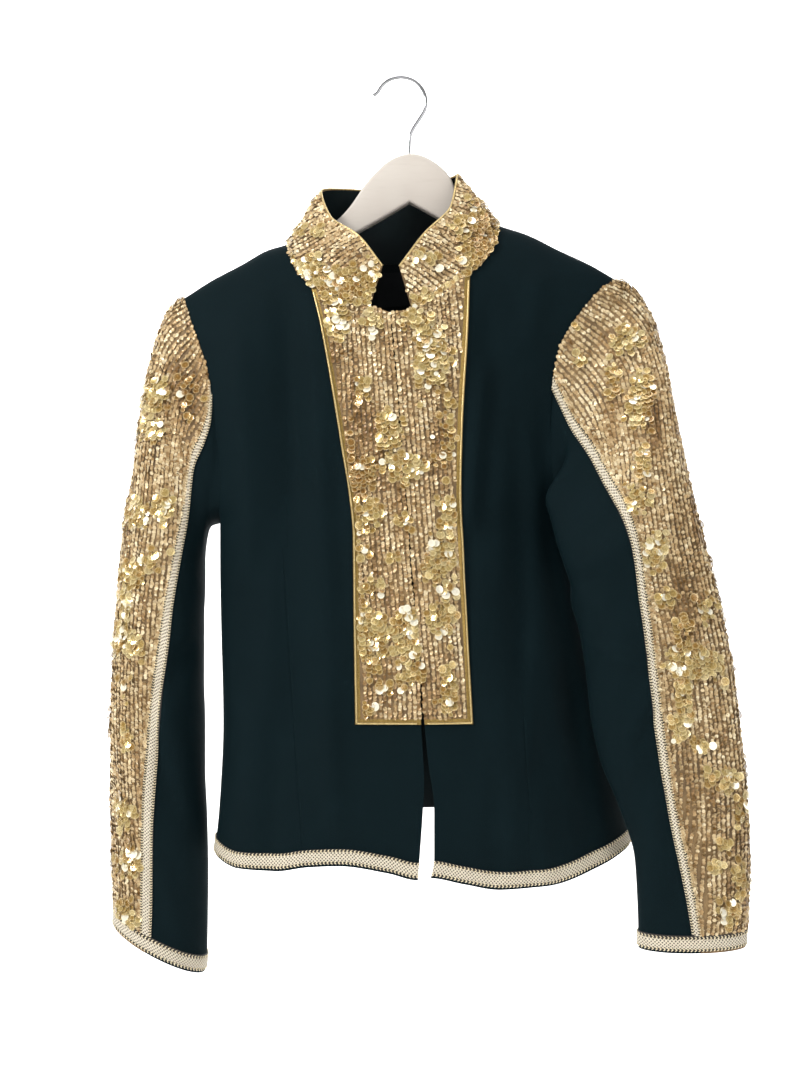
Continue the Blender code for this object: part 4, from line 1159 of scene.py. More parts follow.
def add_grid(mesh, points, flip=False, closed=False, flat=None):
    """Add a grid of points as faces, with the cloth's own coordinates on them."""
    rows, columns = points.shape[0] - 1, points.shape[1] - 1
    made = bmesh.ops.create_grid(mesh, x_segments=columns, y_segments=rows, size=1.0)["verts"]
    uv = mesh.loops.layers.uv.get("cloth") or mesh.loops.layers.uv.new("cloth")
    if flat is None:
        flat = np.stack((lengths_along(points, 1), lengths_along(points, 0)), axis=-1)
    places = {}
    for vert in made:
        spot = (round((vert.co.y + 1) / 2 * rows), round((vert.co.x + 1) / 2 * columns))
        vert.co = points[spot]
        places[vert] = spot
    faces = list({face for vert in made for face in vert.link_faces})
    for face in faces:
        for loop in face.loops:
            loop[uv].uv = flat[places[loop.vert]] * MM
    if flip:
        bmesh.ops.reverse_faces(mesh, faces=faces)
    if closed:
        bmesh.ops.remove_doubles(mesh, verts=made, dist=0.001)
    return places, faces


def raise_faces(mesh, faces):
    """Extrude faces where they lie, and give the new vertices, which are then moved."""
    raised = bmesh.ops.extrude_face_region(mesh, geom=faces, use_keep_orig=True)["geom"]
    return [part for part in raised if isinstance(part, bmesh.types.BMVert)]


def finish_piece(name, mesh, material, nodes=(), sharp=50):
    """Turn a bmesh in millimetres into a piece of the scene, riding on the frame."""
    bmesh.ops.recalc_face_normals(mesh, faces=mesh.faces)
    bmesh.ops.scale(mesh, vec=(MM, MM, MM), verts=mesh.verts)
    data = bpy.data.meshes.new(name)
    mesh.to_mesh(data)
    mesh.free()
    data.shade_smooth()
    data.set_sharp_from_angle(angle=math.radians(sharp))
    data.materials.append(material)
    return place_piece(name, data, nodes)


def place_piece(name, data, nodes=()):
    """Link a mesh as a piece of the object."""
    piece = bpy.data.objects.new(name, data)
    bpy.context.scene.collection.objects.link(piece)
    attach(piece, "root")
    if nodes:
        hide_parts(*nodes)
    GARMENT.setdefault("pieces", {})[name] = piece
    return piece


def seam_distance(panel, points):
    """How far each point of a front is from its dart or princess seam, sideways."""
    marks = DART.get(panel)
    if marks is None:
        return np.full(points.shape[:2], 99.0)
    middle = smooth(marks, "z", "x", points[..., 2])
    height = points[..., 2]
    ends = np.maximum(0, np.maximum(height - marks["z"].max(), marks["z"].min() - height))
    apart = points[..., 0] - middle
    return np.where(ends > 0, np.sign(apart + 1e-6) * (abs(apart) + ends), apart)


def add_panel(skin, points, panel, flip, first=(0, 0)):
    """Add one grid of cloth to the skin, with its faces named."""
    places, faces = add_grid(skin, points, flip)
    seam = skin.verts.layers.float["seam"]
    apart = seam_distance(panel, points)
    layers = [skin.faces.layers.int[name] for name in ("panel", "row", "column")]
    for vert, spot in places.items():
        vert[seam] = apart[spot]
    for face in faces:
        spots = [places[vert] for vert in face.verts]
        row, column = (start + min(places) for start, places in zip(first, zip(*spots)))
        for layer, value in zip(layers, (PANELS.index(panel), row, column)):
            face[layer] = value


def share_directions(skin):
    """Keep one outward direction at each vertex, halfway between the parts that meet there."""
    out = skin.verts.layers.float_vector.new("out")
    panel = skin.faces.layers.int["panel"]
    kinds = {number: name.split("_")[0].replace("back", "front").replace("upper", "under")
             for number, name in enumerate(PANELS)}
    for vert in skin.verts:
        groups = {}
        for face in vert.link_faces:
            group = kinds[face[panel]]
            groups[group] = groups.get(group, Vector()) + face.normal
        if len(groups) == 1:
            vert[out] = vert.normal
            continue
        ways = [way.normalized() for way in groups.values()]
        direction = sum(ways, Vector()).normalized()
        sharpest = min(way.dot(direction) for way in ways)
        vert[out] = direction * min(1.0, max(CREASE_THINNEST, sharpest * CREASE_EASE))


def work_out_cloth():
    """All the cloth as one fine skin, and as patches for what is laid on it."""
    skin = bmesh.new()
    skin.verts.layers.float.new("seam")
    for name in ("panel", "row", "column"):
        skin.faces.layers.int.new(name)
    heights = finer(LOW_ROWS + (UNDERARM_Z,), FINE_ROWS)[:-1]
    shares = finer(HIGH_ROWS, FINE_ROWS)
    rows = [(height, 0.0) for height in heights] + [(UNDERARM_Z, share) for share in shares]
    shoulder = finer(SHOULDER_COLUMNS, FINE_COLUMNS)
    neck_ends = (shoulder_place("left", NECK_COLUMN)[0], shoulder_place("right", NECK_COLUMN)[0])
    neck = finer((neck_ends[0], *BACK_NECK_X, neck_ends[1]), FINE_COLUMNS)[1:-1]
    back = back_grid(rows, shoulder, neck)
    patches = {"back": Patch(back, True)}
    add_panel(skin, back, "back", True)
    columns = finer(FRONT_COLUMNS, FINE_COLUMNS)
    neck_column = FRONT_COLUMNS.index(NECK_COLUMN) * FINE_COLUMNS
    yoke_row = YOKE_ROW * FINE_ROWS
    yoke_shares = finer(HIGH_ROWS[HIGH_ROWS.index(YOKE_SHARE):], FINE_ROWS)
    fronts, yokes, necks = {}, {}, {}
    for side in SIDES:
        flip = side == "left"
        fronts[side] = front_grid(side, rows[:yoke_row + 1], columns)
        yokes[side] = yoke_grid(side, yoke_shares, shoulder)
        add_panel(skin, fronts[side], "front_" + side, flip)
        add_panel(skin, yokes[side], "front_" + side, flip, (yoke_row, neck_column))
        patches["front_" + side] = Patch(fronts[side], flip)
        start = FRONT_COLUMNS.index(COLLAR_END) * FINE_COLUMNS
        necks[side] = np.concatenate((fronts[side][-1, start:neck_column], yokes[side][:, 0]))
    back_base = back[-1, len(shoulder):len(shoulder) + len(neck)]
    base = np.concatenate((necks["left"], back_base, necks["right"][::-1]))
    corners = (0, len(necks["left"]) - 1, len(necks["left"]) + len(back_base), len(base) - 1)
    collar = collar_grid(base, corners, finer(COLLAR_ROWS, FINE_COLLAR))
    add_panel(skin, collar, "collar", True)
    patches["collar"] = Patch(collar, True)
    add_sleeves(skin, patches, fronts, yokes, back, shares)
    bmesh.ops.remove_doubles(skin, verts=skin.verts, dist=0.01)
    skin.normal_update()
    share_directions(skin)
    GARMENT["patches"] = patches
    return skin


def add_sleeves(skin, patches, fronts, yokes, back, shares):
    """Both sleeves, each a tube of an upper and an under part."""
    faces = np.array(["front"] * len(shares) + ["back"] * (len(shares) - 1))
    rises = np.concatenate((shares, shares[::-1][1:]))
    seam, last = SEAM_COLUMN, len(rises) - 1
    stations = finer(SLEEVE_STATIONS, FINE_STATIONS)
    for side in SIDES:
        flip = side == "right"
        loop = armhole_loop(fronts[side], yokes[side], back, len(LOW_ROWS) * FINE_ROWS, side)
        sleeve = sleeve_grid(side, loop, faces, rises, stations)
        sleeve = crease_sleeve(side, sleeve, stations, flip)
        around = np.concatenate((sleeve[:, last - seam:], sleeve[:, 1:seam + 1]), axis=1)
        upper = sleeve[:, seam:last - seam + 1]
        add_panel(skin, upper, "upper_" + side, flip)
        add_panel(skin, around, "under_" + side, flip)
        patches["sleeve_" + side] = Patch(sleeve, flip)
        patches["upper_" + side] = Patch(upper, flip)


def crease_sleeve(side, sleeve, stations, flip):
    """Lift and sink the sleeve's cloth along its soft folds."""
    out = Patch(sleeve, flip).out
    station = stations[:, None]
    around = np.linspace(0, 1, sleeve.shape[1])[None, :]
    height = 0.0
    for top, top_around, bottom, bottom_around, width, rise in zip(*SLEEVE_FOLDS[side].values()):
        along = (station - top) / (bottom - top)
        middle = top_around + (bottom_around - top_around) * np.clip(along, 0, 1)
        fade = ease((along + 0.1) / 0.4) * ease((1.1 - along) / 0.4)
        height = height + rise * fade * np.exp(-((around - middle) / width) ** 2)
    return sleeve + out * np.asarray(height)[..., None]


def pull_edges_in(mesh):
    """Draw the outline of a piece in by half a seam gap."""
    moves = []
    for vert in mesh.verts:
        if vert.is_boundary:
            inner = [edge for edge in vert.link_edges if not edge.is_boundary]
            ways = [(edge.other_vert(vert).co - vert.co).normalized()
                    for edge in inner or vert.link_edges]
            moves.append((vert, sum(ways, Vector()).normalized() * SEAM_EASE))
    for vert, move in moves:
        vert.co += move


def cut_piece(skin, name, chosen, inner, outer, material, nodes, lining=None):
    """One sewn piece: the chosen faces of the skin as a closed wall between two lifts."""
    mesh = skin.copy()
    layers = [mesh.faces.layers.int[layer] for layer in ("panel", "row", "column")]
    spare = [f for f in mesh.faces if not chosen(*(f[layer] for layer in layers))]
    bmesh.ops.delete(mesh, geom=spare, context="FACES")
    pull_edges_in(mesh)
    out = mesh.verts.layers.float_vector["out"]
    for vert in mesh.verts:
        vert.co += Vector(vert[out]) * inner
    inside = mesh.faces[:]
    raised = raise_faces(mesh, inside)
    for face in inside:
        face.material_index = 1 if lining else 0
    for vert in raised:
        vert.co += Vector(vert[out]) * (outer - inner)
    piece = finish_piece(name, mesh, material, nodes)
    if lining:
        piece.data.materials.append(lining)
    return piece


def make_cloth(settings):
    """Every piece of cloth: fronts, back, collar, sleeves and the grounds of the front panels."""
    skin = work_out_cloth()
    wool = wool_finish(tuple(settings.wool_colour))
    netting, lining = backing_finish(), lining_finish()
    bronze = thread_finish("bronze strip", (0.12, 0.07, 0.012), (0.46, 0.31, 0.09))
    wall = settings.wall * 1000
    for panel, node, plain in CLOTH_PIECES:
        number = PANELS.index(panel)
        lift, cover, slot = NETTING_LIFT, netting, "gold_sequins"
        if plain:
            lift, cover, slot = 0, wool, "navy_cloth"
        cut_piece(skin, node + "_cloth", lambda p, r, c, n=number: p == n, -wall, lift, cover,
                  (node,), lining)
    for side in SIDES:
        number = PANELS.index("front_" + side)
        low, edge = PLASTRON_ROW * FINE_ROWS, EDGING_COLUMN * FINE_COLUMNS
        low_edging = EDGING_ROW * FINE_ROWS
        after = edge + FINE_COLUMNS
        cut_piece(skin, "plastron_ground_" + side,
                  lambda p, r, c: p == number and r >= low and c < edge,
                  OVERLAY_GAP, OVERLAY_GAP + PANEL_WALL, netting,
                  ("plastron_" + side,))
        cut_piece(skin, "plastron_strip_" + side,
                  lambda p, r, c: p == number and ((r >= low_edging and edge <= c < after)
                                                   or (low_edging <= r < low and c < edge)),
                  OVERLAY_GAP, OVERLAY_GAP + STRIP_WALL, bronze,
                  ("plastron_edging_" + side,))
    skin.free()


def scatter(name, shape, places, out, along, sizes, tones, material):
    """Many copies of a small shape, joined as one mesh."""
    bmesh.ops.triangulate(shape, faces=shape.faces)
    shape.verts.index_update()
    corners = np.array([vert.co for vert in shape.verts])
    faces = np.array([[vert.index for vert in face.verts] for face in shape.faces])
    shape.free()
    side = unit(np.cross(out, along))
    along = np.cross(side, out)
    spots = corners[None, :, :] * np.asarray(sizes)[:, None, :]
    points = (places[:, None, :] + spots[..., 0:1] * along[:, None, :]
              + spots[..., 1:2] * side[:, None, :] + spots[..., 2:3] * out[:, None, :])
    copies = len(places)
    joined = (faces[None, :, :] + (np.arange(copies) * len(corners))[:, None, None]).reshape(-1, 3)
    data = bpy.data.meshes.new(name)
    data.from_pydata((points * MM).reshape(-1, 3), [], joined)
    radii = np.hypot(corners[:, 0], corners[:, 1])
    kept = {"tone": np.repeat(tones, len(corners)), "rim": np.tile(radii / radii.max(), copies)}
    for label, values in kept.items():
        layer = data.attributes.new(label, "FLOAT", "POINT")
        layer.data.foreach_set("value", values.astype(np.float32))
    data.shade_smooth()
    data.set_sharp_from_angle(angle=math.radians(60))
    data.materials.append(material)
    return place_piece(name, data)


def disc_shape(sides, cup, thickness):
    """A small cupped disc of radius one, closed above and below."""
    shape = bmesh.new()
    bmesh.ops.create_cone(shape, cap_ends=True, cap_tris=True, segments=sides, radius1=1.0,
                          radius2=0.0, depth=1.0)
    bmesh.ops.remove_doubles(shape, verts=shape.verts, dist=0.0001)
    for vert in shape.verts:
        at_rim = math.hypot(vert.co.x, vert.co.y) > 0.5
        top = vert.co.z > 0
        vert.co.z = 0.0 if at_rim else (-cup if top else -cup - thickness)
    return shape


def bead_shape():
    """A small oval stitch of radius one."""
    shape = bmesh.new()
    bmesh.ops.create_icosphere(shape, subdivisions=1, radius=1.0)
    return shape


def patchiness(u, v, seed, across=34.0, along=62.0):
    """Slow uneven waves over the cloth, about -1 to 1, for where larger discs gather."""
    draws = np.random.default_rng(seed)
    total = np.zeros(np.broadcast(u, v).shape)
    for _ in range(9):
        turn, phase = draws.uniform(0, math.tau), draws.uniform(0, math.tau)
        size = draws.uniform(0.55, 1.6)
        place = u * math.cos(turn) / across + v * math.sin(turn) / along
        total += np.sin(math.tau * place / size + phase)
    return total / 3.0


def spot_weight(spots, points):
    """How deep each point lies in any of the spots."""
    total = np.zeros(len(points))
    for x, z, width, height, weight in zip(*spots.values()):
        apart = ((points[:, 0] - x) / width) ** 2 + ((points[:, 2] - z) / height) ** 2
        total = np.maximum(total, weight * np.exp(-0.8 * apart))
    return total


def crowding(points, out, waves):
    """Where larger discs gather, and the amber: from the listed spots on the viewer's side, else
    in waves.
    """
    front = np.clip(-2.2 * out[:, 1], 0, 1)
    placed = 2.0 * spot_weight(DISC_SPOTS, points) - 0.62 + 0.25 * waves
    amber = np.where(front > 0.3, spot_weight(AMBER_SPOTS, points),
                     np.clip(0.7 * waves - 0.2, 0, 0.8))
    return (1 - front) * waves + front * placed, amber


def tilted(out, along, forward, sideways):
    """Outward directions leaned forward and sideways, in radians."""
    side = np.cross(out, along)
    return unit(out + along * np.tan(forward)[:, None] + side * np.tan(sideways)[:, None])


def lay_chain(patch, line, settings, draws, seed, lift):
    """One row of small overlapping sequins: places, directions, sizes and tones."""
    rows, columns, offset = line
    run, points, out, along = even_steps(patch, rows, columns, settings.pitch * 1000,
                                         draws.uniform(0.3, 1.6))
    count = len(run)
    crowd, amber = crowding(points, out, patchiness(offset, run, seed))
    tone = 0.6 + 0.12 * patchiness(offset, run, seed + 7, 20, 90) + draws.normal(0, 0.2, count)
    tone = np.clip(tone - 0.2 * np.clip(crowd, 0, 1) - 0.5 * amber, 0, 1)
    keep = draws.uniform(0, 1, count) > 0.03 + 0.2 * np.clip(crowd - 0.4, 0, 1)
    drift = 0.35 * np.sin(run / 17 + offset) + draws.normal(0, 0.3, count)
    spot = (points + out * (lift + draws.uniform(0, 0.5, count))[:, None]
            + np.cross(out, along) * drift[:, None])
    lean = tilted(out, along, 0.27 + draws.normal(0, 0.2, count), draws.normal(0, 0.35, count))
    radius = draws.uniform(*SEQUIN_RADII, count)
    return [part[keep] for part in (spot, lean, along, radius, tone)]


def disc_tones(draws, amber):
    """Tones of discs: mostly clear gold, deeper where it is amber, and a few set to one, which the
    disc finish paints near white as a glint.
    """
    tone = draws.uniform(0.15, 0.85, len(amber)) * (1 - 0.85 * np.clip(amber, 0, 1))
    # About one disc in ten, fewer where it is amber, gets tone one: a painted white glint.
    return np.where(draws.uniform(0, 1, len(amber)) > 0.9 + 0.06 * amber, 1.0, tone)


def lay_discs(patch, line, settings, draws, seed, lift, sense, sparser):
    """Large clear discs along a row where they gather, overlapping like scales."""
    rows, columns, offset = line
    run, points, out, along = even_steps(patch, rows, columns, settings.disc_pitch * 1000,
                                         draws.uniform(1, 5))
    crowd, amber = crowding(points, out, patchiness(offset, run, seed))
    keep = crowd + draws.normal(0, 0.2, len(run)) - sparser > settings.disc_threshold
    points, out, along, amber = points[keep], out[keep], along[keep], amber[keep]
    count = len(points)
    spot = (points + out * (lift + 1.0 + draws.uniform(0, 1.2, count))[:, None]
            + np.cross(out, along) * draws.normal(0, 0.6, count)[:, None]
            + along * draws.normal(0, 0.5, count)[:, None])
    lean = tilted(out, along, sense * 0.26 + draws.normal(0, 0.15, count),
                  draws.normal(0, 0.22, count))
    radius = draws.choice(DISC_RADII, count, p=DISC_SHARES) * draws.uniform(0.94, 1.06, count)
    return spot, lean, along, radius, disc_tones(draws, amber)


def edge_discs(patch, rows, columns, draws, lift, sense, outward=0.0):
    """Discs along a seam or an end, so that the sequins overlap it in scallops."""
    run, points, out, along = even_steps(patch, rows, columns, EDGE_DISC_PITCH, 1.0)
    count = len(run)
    spot = (points + out * (lift + 0.6 + draws.uniform(0, 0.8, count))[:, None]
            + np.cross(out, along) * (outward + draws.normal(0, 0.5, count))[:, None])
    lean = tilted(out, along, draws.normal(0, 0.2, count),
                  sense * 0.25 + draws.normal(0, 0.2, count))
    amber = crowding(points, out, np.zeros(count))[1]
    return spot, lean, along, draws.uniform(*EDGE_DISC_RADII, count), disc_tones(draws, amber)


def sew_sequins(name, chains, discs):
    """Join a region's small sequins in one mesh and its discs in another."""
    kinds = (("rows", chains, 6, 0.28, "beige"), ("discs", discs, 10, 0.1, "clear"))
    for part, found, sides, cup, kind in kinds:
        spot, lean, along, radius, tone = (np.concatenate(column) for column in zip(*found))
        sizes = np.stack((radius, radius, radius), axis=1)
        scatter(name + "_" + part, disc_shape(sides, cup, SEQUIN_THICKNESS), spot, lean, along,
                sizes, tone, GARMENT["finishes"][kind])


def lay_sequins(patch, settings, margins, anchor, seed, lift, sense, slant=0.0):
    """Rows of small sequins with gatherings of larger discs among them."""
    draws = np.random.default_rng(seed)
    chains, discs = [], []
    lines = patch.lines(settings.row_spacing * 1000, margins, anchor, slant)
    for number, line in enumerate(lines):
        chains.append(lay_chain(patch, line, settings, draws, seed, lift))
        sparser = 0.3 * (number % 2)
        discs.append(lay_discs(patch, line, settings, draws, seed, lift, sense, sparser))
    return chains, discs


def make_sequins(settings):
    """The sequins of the sleeves, the front panels and the collar."""
    GARMENT["finishes"] = {"beige": chain_finish(), "clear": paillette_finish()}
    patches = GARMENT["patches"]
    draws = np.random.default_rng(EDGE_SEED)
    for number, side in enumerate(SIDES):
        upper = patches["upper_" + side]
        last = upper.points.shape[1] - FINE_ROWS
        first = FINE_ROWS // 2 if side == "right" else FINE_ROWS
        sleeve = upper.cut(slice(0, CUFF_ROW + 1), slice(first, last))
        near = SLEEVE_MARGIN
        if side == "right":
            trimmed = SLEEVE_BRAID_WIDTH * braid_turned_in(np.arange(CUFF_ROW + 1.0))
            near = TRIMMED_MARGIN - trimmed
        chains, discs = lay_sequins(sleeve, settings, (near, SLEEVE_MARGIN), "middle",
                                    SLEEVE_SEED + number, SEQUIN_LIFT, -1)
        sew_sequins("sleeve_sequins_" + side, chains, discs)
        front = patches["front_" + side]
        panel = front.cut(slice(PLASTRON_ROW * FINE_ROWS, None),
                          slice(0, EDGING_COLUMN * FINE_COLUMNS + 1))
        chains, discs = lay_sequins(panel, settings, (PANEL_MARGIN, PANEL_MARGIN), "edge",
                                    PANEL_SEED + number, PANEL_LIFT, 1)
        sew_sequins("front_sequins_" + side, chains, discs)
    collar = patches["collar"]
    chains, discs = lay_sequins(collar, settings, (COLLAR_MARGIN, COLLAR_MARGIN), "share",
                                COLLAR_SEED, SEQUIN_LIFT, 1, COLLAR_SLANT)
    base = np.arange(collar.points.shape[1], dtype=float)
    discs.append(edge_discs(collar.turned(), base, base * 0 + 1.0, draws, SEQUIN_LIFT, 1))
    top = collar.points.shape[0] - 1.0
    for end, reach, outward in ((0.6, 0.9, 2.2), (base[-1] - 0.6, 0.35, -1.6)):
        climb = np.linspace(0, top * reach, 12)
        discs.append(edge_discs(collar, climb, climb * 0 + end, draws, SEQUIN_LIFT, 0, outward))
    sew_sequins("collar_sequins", chains, discs)


def ribbon(mesh, patch, lifts, shares):
    """A closed strip over a patch: its lifts and shares across run over the top and back below."""
    columns = patch.points.shape[1] - 1
    rows = np.arange(patch.points.shape[0], dtype=float)
    shares = np.asarray(shares)
    points, out = patch.at(rows[:, None] + 0 * shares,
                           shares[None, :] * columns + 0 * rows[:, None])
    strip = points + out * np.asarray(lifts)[None, :, None]
    widths = lengths_along(patch.points, 1)[:, -1:]
    across = shares[None, :] * widths
    along = lengths_along(points, 0)[:, :1] + 0 * shares
    layer = mesh.verts.layers.float.new("edge")
    places = add_grid(mesh, strip, flat=np.stack((across - widths / 2, along), axis=-1))[0]
    for vert, spot in places.items():
        vert[layer] = min(across[spot], widths[spot[0], 0] - across[spot])
    bmesh.ops.remove_doubles(mesh, verts=mesh.verts, dist=0.001)


def braid_turned_in(rows):
    """How much of the right front braid's width turns away from view, row by row."""
    return TRIMMED_BRAID * ease(rows / FINE_STATIONS / 3 - 1)


def even_patch(patch, step, first, last):
    """The same patch with rows at an even step along it, between two shares of its width."""
    middle = np.full(patch.points.shape[0], (patch.points.shape[1] - 1) / 2)
    rows = np.arange(patch.points.shape[0], dtype=float)
    points = patch.at(rows, middle)[0]
    run = run_along(points)
    count = max(3, int(run[-1] / step))
    places = np.interp(np.linspace(0, run[-1], count), run, rows)
    edges = [np.interp(places, rows, edge + 0 * rows)[:, None] for edge in (first, last)]
    shares = edges[0] + (edges[1] - edges[0]) * np.linspace(0, 1, patch.points.shape[1])
    points, out = patch.at(places[:, None] + 0 * shares, shares * (patch.points.shape[1] - 1))
    return Patch(points, out=out)


def lay_braid(name, patch, node, pitch, first=0.0, last=1.0):
    """One length of braid: a knitted band between two edges of chain stitch."""
    patch = even_patch(patch, BRAID_STEP, first, last)
    mesh = bmesh.new()
    ribbon(mesh, patch, BRAID_SECTION["lift"], BRAID_SECTION["share"])
    bmesh.ops.holes_fill(mesh, edges=[edge for edge in mesh.edges if edge.is_boundary], sides=0)
    finish_piece(name, mesh, GARMENT["braid"], (node,), sharp=70)
    columns = patch.points.shape[1] - 1
    rows = np.arange(patch.points.shape[0], dtype=float)
    width = np.median(lengths_along(patch.points, 1)[:, -1])
    found = []
    for share in (EDGE_STITCH / width, 1 - EDGE_STITCH / width):
        for half, sense in enumerate((-1, 1)):
            middle = np.full(len(rows), share * columns)
            run, points, out, along = even_steps(patch, rows, middle, pitch, 0.8)
            side = np.cross(out, along)
            spot = points + out * STITCH_LIFT + side * (STITCH_SPREAD * sense)
            turn = -STITCH_LEAN * sense
            way = along * math.cos(turn) + side * math.sin(turn)
            found.append((spot, out, way, np.random.default_rng(half).uniform(0, 1, len(run))))
    spot, out, way, tone = (np.concatenate(column) for column in zip(*found))
    sizes = np.tile((BEAD_LENGTH * pitch, *BEAD_SECTION), (len(spot), 1))
    scatter(name + "_chain", bead_shape(), spot, out, way, sizes, tone, GARMENT["chain"])


def make_braids(settings):
    """Braid down both seams of each sleeve, round the cuffs and along the hem."""
    GARMENT["braid"] = braid_finish()
    GARMENT["chain"] = thread_finish("braid chain", (0.50, 0.39, 0.22), (0.95, 0.86, 0.64))
    patches = GARMENT["patches"]
    wide, fine = settings.chain_pitch * 1000, settings.fine_pitch * 1000
    turned_in = braid_turned_in(np.arange(CUFF_ROW + 1.0))
    for side in SIDES:
        sleeve = patches["sleeve_" + side]
        last = sleeve.points.shape[1] - 1
        for face, middle in (("front", SEAM_COLUMN), ("back", last - SEAM_COLUMN)):
            strip = sleeve.cut(slice(0, CUFF_ROW + 1),
                               slice(middle - FINE_ROWS, middle + FINE_ROWS + 1))
            edge = 1 - turned_in if (face, side) == ("front", "right") else 1.0
            lay_braid(face + "_braid_band_" + side, strip, face + "_braid_" + side, fine,
                      last=edge)
        ring = sleeve.cut(slice(CUFF_ROW, None), slice(None)).turned()
        lay_braid("cuff_braid_band_" + side, ring, "cuff_braid_" + side, wide, last=1 - BARE_CUFF)
        hem = patches["front_" + side].cut(slice(0, FINE_ROWS + 1), slice(None)).turned()
        lay_braid("hem_braid_band_" + side, hem, "hem_braid_" + side, wide, BARE_HEM)
    hem = patches["back"].cut(slice(0, FINE_ROWS + 1), slice(None)).turned()
    lay_braid("hem_braid_band_back", hem, "hem_braid_back", wide, BARE_HEM)


def frames_along(path):
    """Two directions across a path, at each point, that turn as little as they can."""
    along = unit(np.gradient(path, axis=0))
    sides = [unit(np.cross(along[0], (0.0, 1.0, 0.2)))]
    for way in along[1:]:
        sides.append(unit(sides[-1] - way * np.dot(way, sides[-1])))
    sides = np.array(sides)
    return sides, np.cross(along, sides)


def round_cord(mesh, path, radius, sides, plies=0, twist=1.0, depth=0.0):
    """A round or twisted cord along a path in millimetres."""
    first, second = frames_along(path)
    run = run_along(path)
    angles = np.linspace(0, math.tau, sides + 1)[None, :]
    turn = math.tau * run[:, None] / twist
    radii = radius * (1 - depth / 2 + depth / 2 * np.cos(plies * (angles - turn)))
    ring = (first[:, None, :] * np.cos(angles)[..., None]
            + second[:, None, :] * np.sin(angles)[..., None])
    points = path[:, None, :] + ring * radii[..., None]
    flat = np.stack((angles * radius + 0 * run[:, None], run[:, None] + 0 * angles), axis=-1)
    add_grid(mesh, points, closed=True, flat=flat)
    bmesh.ops.holes_fill(mesh, edges=[edge for edge in mesh.edges if edge.is_boundary], sides=0)


def even_path(points, step):
    """Points at an even step along a path."""
    run = run_along(points)
    places = np.linspace(0, run[-1], max(3, int(run[-1] / step)))
    return np.stack([np.interp(places, run, points[:, k]) for k in range(3)], axis=1)


def lay_cord(name, path, cord, material, nodes=()):
    """One length of twisted cord along a path."""
    mesh = bmesh.new()
    step, *shape = cord
    round_cord(mesh, even_path(path, step), *shape)
    finish_piece(name, mesh, material, nodes, sharp=80)


def make_cords():
    """The twisted cord that edges each front panel, and the piping on the collar."""
    gold = thread_finish("gold cord", (0.26, 0.16, 0.04), (0.88, 0.70, 0.34))
    patches = GARMENT["patches"]
    for side in SIDES:
        front = patches["front_" + side]
        low = EDGING_ROW * FINE_ROWS + 1
        edge = (EDGING_COLUMN + 1) * FINE_COLUMNS - 1
        rise = front.points + front.out * PANEL_CORD_LIFT
        path = np.concatenate((rise[low, 1:edge], rise[low:-1, edge]))
        lay_cord("panel_cord_" + side, path, PANEL_CORD, gold)
    collar = patches["collar"].points
    path = collar[-1] + unit(collar[-1] - collar[0]) * PIPING_LIFT
    lay_cord("collar_piping_cord", path, PIPING_CORD, gold, ("collar_piping",))


def make_label(settings):
    """The plain dark label inside the back of the neck."""
    back = GARMENT["patches"]["back"]
    first, last = LABEL_COLUMNS[0] * FINE_COLUMNS, (LABEL_COLUMNS[-1] + 1) * FINE_COLUMNS
    low, high = LABEL_ROWS[0] * FINE_ROWS, (LABEL_ROWS[-1] + 1) * FINE_ROWS
    patch = back.cut(slice(low, high + 1), slice(first, last + 1))
    inner = -settings.wall * 1000 - OVERLAY_GAP
    mesh = bmesh.new()
    add_grid(mesh, patch.points + patch.out * inner)
    raised = raise_faces(mesh, mesh.faces[:])
    middle = patch.out[patch.out.shape[0] // 2, patch.out.shape[1] // 2]
    bmesh.ops.translate(mesh, verts=raised, vec=Vector(middle) * -LABEL_THICKNESS)
    finish_piece("label", mesh, label_finish(), ("neck_label",))


def smooth_outline(points, step):
    """A line rounded through its points, in the plane of X and Z."""
    line = np.array([points[0], *points, points[-1]])
    found = []
    for a, b, c, d in zip(line, line[1:], line[2:], line[3:]):
        parts = max(1, int(np.linalg.norm(c - b) / step))
        for t in np.arange(parts) / parts:
            found.append(0.5 * (2 * b + (c - a) * t + (2 * a - 5 * b + 4 * c - d) * t * t
                                + (3 * b - a - 3 * c + d) * t ** 3))
    return found + [line[-1]]


def make_hanger():
    """The painted wooden arms and the bright wire hook."""
    outline = smooth_outline(list(zip(*WOOD_TOP.values())), WOOD_STEP)
    outline += list(zip(*WOOD_BOTTOM.values()))
    mesh = bmesh.new()
    ring = [mesh.verts.new((x, -WOOD_THICKNESS / 2, z)) for x, z in outline]
    raised = raise_faces(mesh, [mesh.faces.new(ring)])
    bmesh.ops.translate(mesh, verts=raised, vec=(0, WOOD_THICKNESS, 0))
    bmesh.ops.recalc_face_normals(mesh, faces=mesh.faces)
    rims = [edge for edge in mesh.edges if edge.calc_face_angle() > math.radians(80)]
    bmesh.ops.bevel(mesh, geom=rims, offset=WOOD_ROUNDING, segments=4, profile=0.5, material=-1,
                    affect="EDGES")
    finish_piece("hanger_arms", mesh, wood_finish(), ("hanger_wood",),
                 sharp=40)
    mesh = bmesh.new()
    reach = HOOK_RADIUS + WIRE_RADIUS
    turns = np.radians(np.arange(*HOOK_ARC))
    arc = np.stack((np.cos(turns), 0 * turns, np.sin(turns)), axis=1) * reach
    arc[:, 2] -= HOOK_RADIUS
    path = smooth_path(np.concatenate((STEM_BEND, arc, HOOK_TIP)))
    round_cord(mesh, even_path(path, WIRE_STEP), WIRE_RADIUS, WIRE_SIDES)
    finish_piece("hook_wire", mesh, chrome_finish(), ("hanger_hook",),
                 sharp=60)


